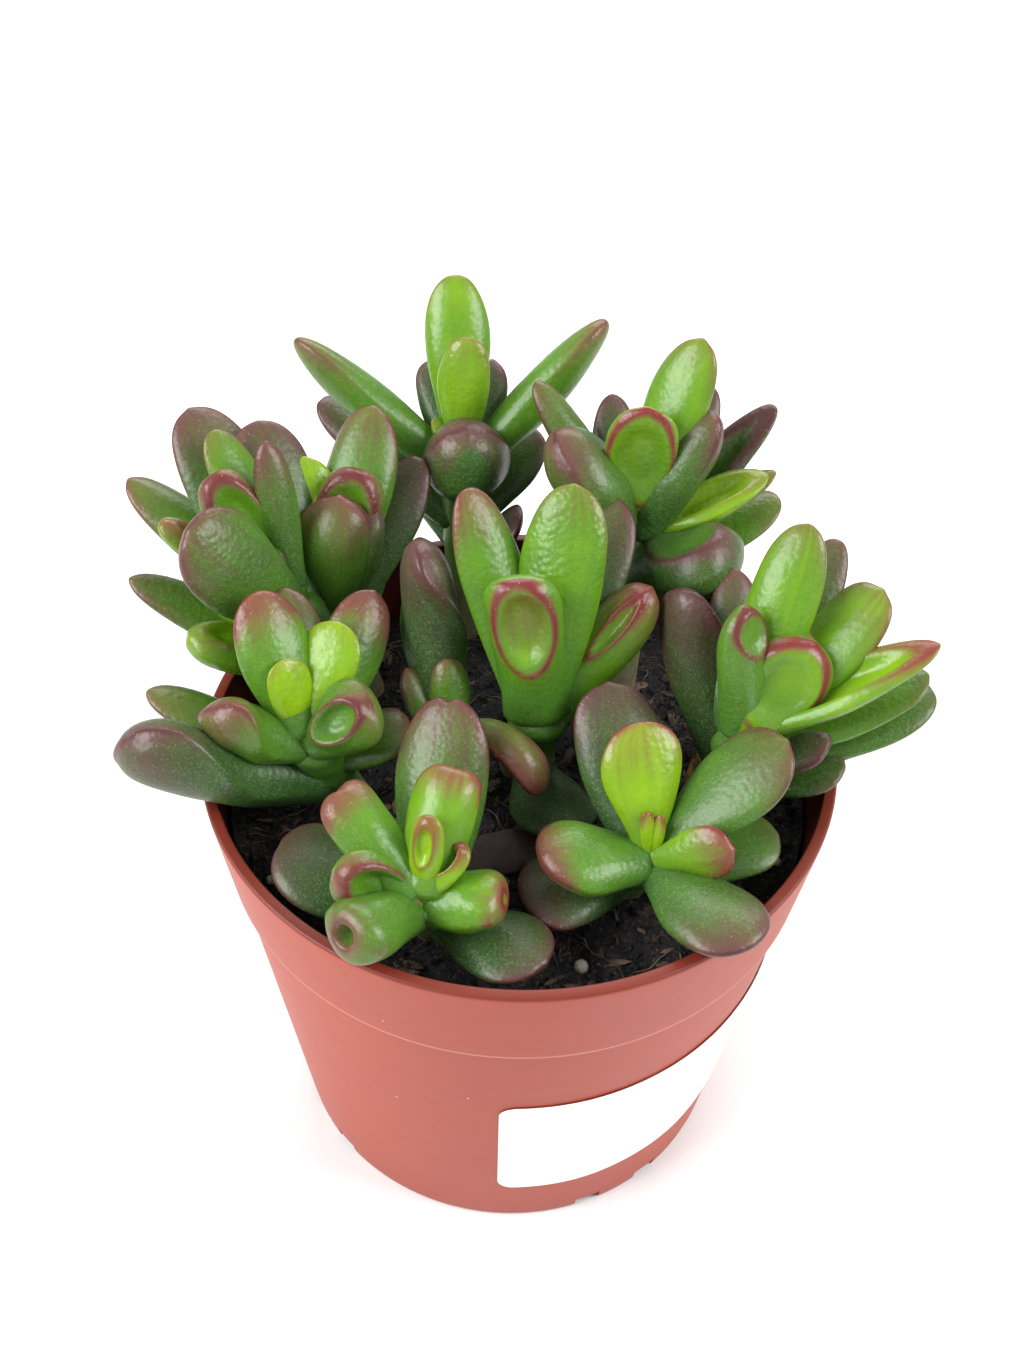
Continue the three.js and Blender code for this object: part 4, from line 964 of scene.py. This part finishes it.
bloom = add_node(tree, "Math", {0: age, 1: 0.65, 2: 0.35}, operation="MULTIPLY_ADD")
greyed = add_node(tree, "Math", {0: stippled, 1: bloom}, operation="MULTIPLY")
green = add_node(tree, "Mix", {0: greyed, 6: based, 7: "#8b9a6c"}, data_type="RGBA")
# Burgundy: a flush over the tip that starts lower the more the leaf blushes, broken up by streaks
# and clouds, and a narrow darker line along the sides near the tip and along a lip. The flush is
# dusky red on young leaves and purple-brown on old ones.
blush_more = add_node(tree, "Math", {0: blush, 1: 0.4, 2: reach}, operation="MULTIPLY_ADD")
cloud_more = add_node(tree, "Math", {0: clouds, 1: 0.3, 2: blush_more}, operation="MULTIPLY_ADD")
streak_more = add_node(tree, "Math", {0: streaks, 1: 0.5, 2: cloud_more}, operation="MULTIPLY_ADD")
tip_flush = add_node(tree, "MapRange", {
    "Value": streak_more, "From Min": 1.23, "From Max": 1.95}, interpolation_type="SMOOTHSTEP")
edge_flush = add_node(tree, "MapRange", {
    "Value": margin, "From Min": 2.4, "From Max": 0.3, "To Max": 0.6},
    interpolation_type="SMOOTHSTEP")
near_tip = add_node(tree, "MapRange", {"Value": reach, "From Min": 0.55, "From Max": 0.92},
                    interpolation_type="SMOOTHSTEP")
edge_up = add_node(tree, "Math", {0: edge_flush, 1: near_tip}, operation="MULTIPLY")
edge_red = add_node(tree, "Math", {0: edge_up, 1: blush}, operation="MULTIPLY")
spread = add_node(tree, "Math", {0: tip_flush, 1: edge_red}, operation="ADD", use_clamp=True)
spread_soft = add_node(tree, "Math", {0: spread, 1: 0.88}, operation="MULTIPLY")
flush_colour = add_node(tree, "Mix", {0: old, 6: "#793a38", 7: "#573537"}, data_type="RGBA")
blushing = add_node(tree, "Mix", {0: spread_soft, 6: green, 7: flush_colour}, data_type="RGBA")
line = add_node(tree, "MapRange", {
    "Value": margin, "From Min": 0.8, "From Max": 0.2, "To Max": 0.9}, interpolation_type="SMOOTHSTEP")
line_up = add_node(tree, "Math", {0: line, 1: near_tip}, operation="MULTIPLY")
line_on = add_node(tree, "Math", {0: line_up, 1: blush}, operation="MULTIPLY")
ripened = add_node(tree, "MapRange", {"Value": age, "From Min": 0.25, "From Max": 0.7})
line_colour = add_node(tree, "Mix", {0: ripened, 6: "#741b23", 7: "#4a2422"}, data_type="RGBA")
margin_red = add_node(tree, "Mix", {0: line_on, 6: blushing, 7: line_colour}, data_type="RGBA")
# Breathing pores: pale dots of 0.2 mm, some 1.1 mm apart, that show where the skin is red.
pores = add_node(tree, "TexVoronoi", {"Vector": where, "Scale": 1250.0})
dot = add_node(tree, "MapRange", {"Value": pores, "From Min": 0.14, "From Max": 0.07})
dot_pick = add_node(tree, "SeparateXYZ", {0: pores.outputs["Color"]})
dot_few = add_node(tree, "Math", {0: dot_pick.outputs["X"], 1: 0.45}, operation="GREATER_THAN")
dots = add_node(tree, "Math", {0: dot, 1: dot_few}, operation="MULTIPLY")
dots_red = add_node(tree, "Math", {0: spread, 1: 0.55, 2: 0.06}, operation="MULTIPLY_ADD")
dots_on = add_node(tree, "Math", {0: dots, 1: dots_red}, operation="MULTIPLY")
dotted = add_node(tree, "Mix", {0: dots_on, 6: margin_red, 7: "#c9a995"}, data_type="RGBA")
# Cork: the old foot of a stem is grey-brown and dull.
cork_noise = add_node(tree, "TexNoise", {"Vector": where, "Scale": 700.0, "Detail": 4.0})
cork_colour = add_node(tree, "Mix", {0: cork_noise, 6: "#4a4a33", 7: "#8b8263"}, data_type="RGBA")
skin_colour = add_node(tree, "Mix", {0: cork, 6: dotted, 7: cork_colour}, data_type="RGBA")
# Skin relief: water cells that stand up like orange peel, 0.9 mm apart and up to 0.1 mm high,
# over a slow unevenness of 4 mm, with a fine tooth of 0.3 mm from the wax.
cells = add_node(tree, "TexVoronoi", {"Vector": where, "Scale": 1100.0, "Smoothness": 0.6},
                 feature="SMOOTH_F1")
uneven = add_node(tree, "TexNoise", {"Vector": where, "Scale": 250.0, "Detail": 2.0})
wax = add_node(tree, "TexNoise", {"Vector": where, "Scale": 3200.0, "Detail": 3.0})
uneven_bump = add_node(tree, "Bump", {"Height": uneven, "Distance": 0.13 * MM})
pebbles = add_node(tree, "Math", {0: cells, 1: look.outputs["Z"]}, operation="MULTIPLY")
cell_bump = add_node(tree, "Bump", {
    "Height": pebbles, "Distance": 0.11 * MM, "Normal": uneven_bump}, invert=True)
wax_bump = add_node(tree, "Bump", {"Height": wax, "Distance": 0.024 * MM, "Normal": cell_bump})
worn = add_node(tree, "MapRange", {"Value": streaked, "From Min": 0.2, "From Max": 1.2,
                                   "To Min": 0.26, "To Max": 0.38})
matt = add_node(tree, "Math", {0: cork, 1: 0.4, 2: worn}, operation="MULTIPLY_ADD")
# Light goes 1.5 mm into the flesh, and green light the deepest.
skin = add_node(tree, "BsdfPrincipled", {
    "Base Color": skin_colour, "Roughness": matt, "IOR": 1.45,
    "Specular IOR Level": 0.47, "Subsurface Weight": 0.14, "Subsurface Radius": (0.8, 1.0, 0.3),
    "Subsurface Scale": 1.5 * MM, "Normal": wax_bump})
tree.links.new(skin.outputs[0], surface)


def join_parts(parts):
    """Joins meshes given as points, quads, tris and attributes into one set of arrays."""
    starts = np.cumsum([0] + [len(part[0]) for part in parts[:-1]])
    points = np.concatenate([part[0] for part in parts])
    quads = np.concatenate([part[1] + start for part, start in zip(parts, starts)])
    tris = np.concatenate([part[2] + start for part, start in zip(parts, starts)])
    extras = [np.concatenate([part[i] for part in parts]) for i in (3, 4, 5)]
    return points, quads, tris, extras


def add_skin_values(piece, extras):
    """Stores the skin's three vectors for each point: look, place and grain."""
    for name, values in zip(("look", "place", "grain"), extras):
        layer = piece.data.attributes.new(name, "FLOAT_VECTOR", "POINT")
        layer.data.foreach_set("vector", np.ravel(values).astype(np.float32))


for node_name, shoot in SHOOTS.items():
    root_point = np.array([*shoot["root"], SOIL_TOP])
    tip_point = np.array(shoot["tip"])
    parts = [stem_mesh(shoot)]
    for row in shoot["leaves"]:
        parts.append(leaf_mesh(root_point + (tip_point - root_point) * row[1], row, leaf_draw))
    points, quads, tris, extras = join_parts(parts)
    leafy_stem = add_piece(node_name.replace("shoot", "leafy_stem"), points, quads, tris, leaf_skin)
    add_skin_values(leafy_stem, extras)
    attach(leafy_stem, "root")
    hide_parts(node_name)


# Fallen leaf: one shed leaf that has dried to a thin, wrinkled, brown and yellow husk. It leans on
# the soil between the stems at the right.
FALLEN_AT = (28, -6, 73.8)
FALLEN_ROW = ("scoop", 0, 68, 28, 11, 6, 0.5, 0.5, dict(bend=40, roll=25))
HUSK_CREASE = 0.22

husk, tree, surface, where = new_material("dried_leaf_husk")
# A dried leaf is papery: ochre where it is thin, brown where it folded, with wrinkles of 1.2 mm.
blotch = add_node(tree, "TexNoise", {"Vector": where, "Scale": 330.0, "Detail": 4.0})
ochre = add_node(tree, "MapRange", {"Value": blotch, "From Min": 0.38, "From Max": 0.62})
husk_colour = add_node(tree, "Mix", {0: ochre, 6: "#4f3520", 7: "#a88838"}, data_type="RGBA")
wrinkle = add_node(tree, "TexNoise", {"Vector": where, "Scale": 850.0, "Detail": 4.0,
                                      "Distortion": 1.5})
wrinkled = add_node(tree, "Bump", {"Height": wrinkle, "Distance": 0.5 * MM})
papery = add_node(tree, "BsdfPrincipled", {
    "Base Color": husk_colour, "Roughness": 0.6, "IOR": 1.45, "Normal": wrinkled})
tree.links.new(papery.outputs[0], surface)

husk_parts = leaf_mesh(np.array(FALLEN_AT), FALLEN_ROW, leaf_draw)
husk_points = husk_parts[0]
crease = HUSK_CREASE * np.sin(2.1 * husk_points[:, 0] + 1.3 * husk_points[:, 1])
husk_points[:, 2] += crease * np.sin(1.7 * husk_points[:, 2])
fallen = add_piece("dried_leaf", husk_points, husk_parts[1], husk_parts[2], husk)
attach(fallen, "root")
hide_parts("fallen_leaf")


# Bark piece: one large curled flake of dark bark that lies on the soil at the front, smooth and
# dark brown on its upper side and crumbling at its edge.
BARK_AT = (-4, -17, 73.2)
BARK_TURN = 8
BARK_TILT = 10
BARK_SIZE = (19, 8, 2.4)
BARK_CURL = 0.012
BARK_ROWS = 60
BARK_SIDES = 48


def flake_points():
    """A flat lump: rows across its length, each a closed outline squarer than an ellipse, whose
    width tapers and wanders along the length; noise roughens the outline most at its edge, and
    the square of the way along it curls both ends up."""
    long, wide, thick = BARK_SIZE
    share = np.linspace(-0.97, 0.97, BARK_ROWS)[:, None]
    around = 2 * np.pi * np.arange(BARK_SIDES) / BARK_SIDES
    across = np.sign(np.cos(around)) * np.abs(np.cos(around)) ** 0.7
    up = np.sign(np.sin(around)) * np.abs(np.sin(around)) ** 0.7
    blunt = (1 - np.abs(share) ** 5) ** 0.4
    x = long / 2 * share + 0 * around
    rough = lattice_noise(x, 3 * around + 0 * x, 1.6, 31)
    y = wide / 2 * across * (1 - 0.35 * share ** 2) * blunt * (1 + 0.07 * rough)
    z = thick / 2 * up * blunt * (1 + 0.16 * rough) * (1 - 0.05 * y)
    return np.stack([x + 0.8 * np.sin(y), y + 0.9 * np.sin(0.35 * x), z + BARK_CURL * x * x], -1)


flake = flake_points()
ends = flake[[0, -1]].mean(1)
flake_all = np.concatenate([ends[:1], flake.reshape(-1, 3), ends[1:]])
tilt, turn_by = np.radians([BARK_TILT, BARK_TURN])
tilted = np.stack([
    flake_all[:, 0],
    flake_all[:, 1] * np.cos(tilt) - flake_all[:, 2] * np.sin(tilt),
    flake_all[:, 1] * np.sin(tilt) + flake_all[:, 2] * np.cos(tilt)], -1)
turned_flake = np.stack([
    tilted[:, 0] * np.cos(turn_by) - tilted[:, 1] * np.sin(turn_by),
    tilted[:, 0] * np.sin(turn_by) + tilted[:, 1] * np.cos(turn_by),
    tilted[:, 2]], -1) + BARK_AT

dark_bark, tree, surface, where = new_material("dark_pine_bark")
# The flake's upper side is worn smooth and dark red-brown with a dull sheen. Its broken edge is
# paler and crumbly, in grains of 0.6 mm.
facing = add_node(tree, "SeparateXYZ", {0: add_node(tree, "NewGeometry", {}).outputs["True Normal"]})
edge = add_node(tree, "MapRange", {"Value": facing.outputs["Z"], "From Min": 0.85, "From Max": 0.5})
bark_tone = add_node(tree, "TexNoise", {"Vector": where, "Scale": 420.0, "Detail": 5.0})
flat_colour = add_node(tree, "Mix", {0: bark_tone, 6: "#1d1414", 7: "#43302c"}, data_type="RGBA")
edge_colour = add_node(tree, "Mix", {0: bark_tone, 6: "#2a2220", 7: "#7d6d60"}, data_type="RGBA")
flake_colour = add_node(tree, "Mix", {0: edge, 6: flat_colour, 7: edge_colour}, data_type="RGBA")
crumbly = add_node(tree, "TexNoise", {"Vector": where, "Scale": 1700.0, "Detail": 5.0})
flake_bump = add_node(tree, "Bump", {"Height": crumbly, "Distance": 0.3 * MM})
dull = add_node(tree, "MapRange", {"Value": edge, "To Min": 0.5, "To Max": 0.9})
bark_skin = add_node(tree, "BsdfPrincipled", {
    "Base Color": flake_colour, "Roughness": dull, "IOR": 1.45, "Normal": flake_bump})
tree.links.new(bark_skin.outputs[0], surface)

bark = add_piece(
    "bark_flake", turned_flake, tube_faces(BARK_ROWS, BARK_SIDES, start=1),
    end_fans(len(turned_flake) - 1, BARK_SIDES), dark_bark)
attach(bark, "root")
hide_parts("bark_piece")


# Studio: a white floor under soft white light. A large panel stands to the left, a smaller one to
# the right, and a long one behind picks out the tops and edges of the leaves.
FLOOR_HALF = 2000
WORLD_LIGHT = 0.57
PLANT_MIDDLE = (0, 0, 0.09)
sweep, tree, surface, where = new_material("matt_white_paint")
# Matt white paint, with a roller texture of 1.5 mm that is too faint to see at this distance.
roller = add_node(tree, "TexNoise", {"Vector": where, "Scale": 650.0})
rolled = add_node(tree, "Bump", {"Height": roller, "Distance": 0.01 * MM})
white = add_node(tree, "BsdfPrincipled", {
    "Base Color": "#e2e2e2", "Roughness": 0.9, "Specular IOR Level": 0.1, "Normal": rolled})
tree.links.new(white.outputs[0], surface)
floor_points = [(x, y, 0) for x, y in ((-1, -1), (1, -1), (1, 1), (-1, 1))]
floor = add_piece("studio_floor", np.array(floor_points) * FLOOR_HALF, np.array([[0, 1, 2, 3]]),
                  np.empty((0, 3)), sweep)

world = bpy.data.worlds.new("white_studio")
world.use_nodes = True
world.node_tree.nodes["Background"].inputs["Color"].default_value = linear("#ffffff")
world.node_tree.nodes["Background"].inputs["Strength"].default_value = WORLD_LIGHT
bpy.context.scene.world = world
bpy.context.scene.view_settings.view_transform = "Standard"


def add_panel(name, at, size, power):
    """A soft light, tipped by the angle between straight up and the line to it from the middle of
    the plant, then turned to the side that this line comes from."""
    lamp = bpy.data.lights.new(name, "AREA")
    lamp.shape = "RECTANGLE"
    lamp.size, lamp.size_y = size
    lamp.energy = power
    panel = bpy.data.objects.new(name, lamp)
    away = np.array(at) - np.array(PLANT_MIDDLE)
    panel.location = at
    panel.rotation_euler = (np.arctan2(np.hypot(away[0], away[1]), away[2]), 0,
                            np.arctan2(away[0], -away[1]))
    bpy.context.scene.collection.objects.link(panel)


# The panels: place and size in metres, power in watts.
add_panel("left_panel", (-0.75, -0.25, 0.7), (0.8, 0.5), 14.5)
add_panel("right_panel", (0.75, -0.15, 0.65), (0.5, 0.5), 9.0)
add_panel("back_panel", (0.1, 0.8, 0.7), (0.9, 0.4), 6.0)

# Camera: held close in front of the plant and above it, pitched down and tipped a little. FOCAL
# goes with a frame that is SENSOR tall.
CAMERA_AT = (-1.5, -203.9, 297.5)
CAMERA_PITCH = 44.78
CAMERA_ROLL = 1.88
FOCAL = 48.79
SENSOR = 36
pitch, roll = np.radians([CAMERA_PITCH, CAMERA_ROLL])
right = np.array([1, 0, 0])
up = np.array([0, np.sin(pitch), np.cos(pitch)])
forward = np.array([0, np.cos(pitch), -np.sin(pitch)])
tipped_right = right * np.cos(roll) + up * np.sin(roll)
tipped_up = up * np.cos(roll) - right * np.sin(roll)
placing = np.eye(4)
placing[:3, :3] = np.stack([tipped_right, tipped_up, -forward], -1)
placing[:3, 3] = np.array(CAMERA_AT) * MM
lens = bpy.data.cameras.new("close_camera")
lens.sensor_width = SENSOR
lens.lens = FOCAL
lens.clip_start = 0.01
camera = bpy.data.objects.new("close_camera", lens)
camera.matrix_world = placing.T.tolist()
bpy.context.scene.collection.objects.link(camera)
bpy.context.scene.camera = camera
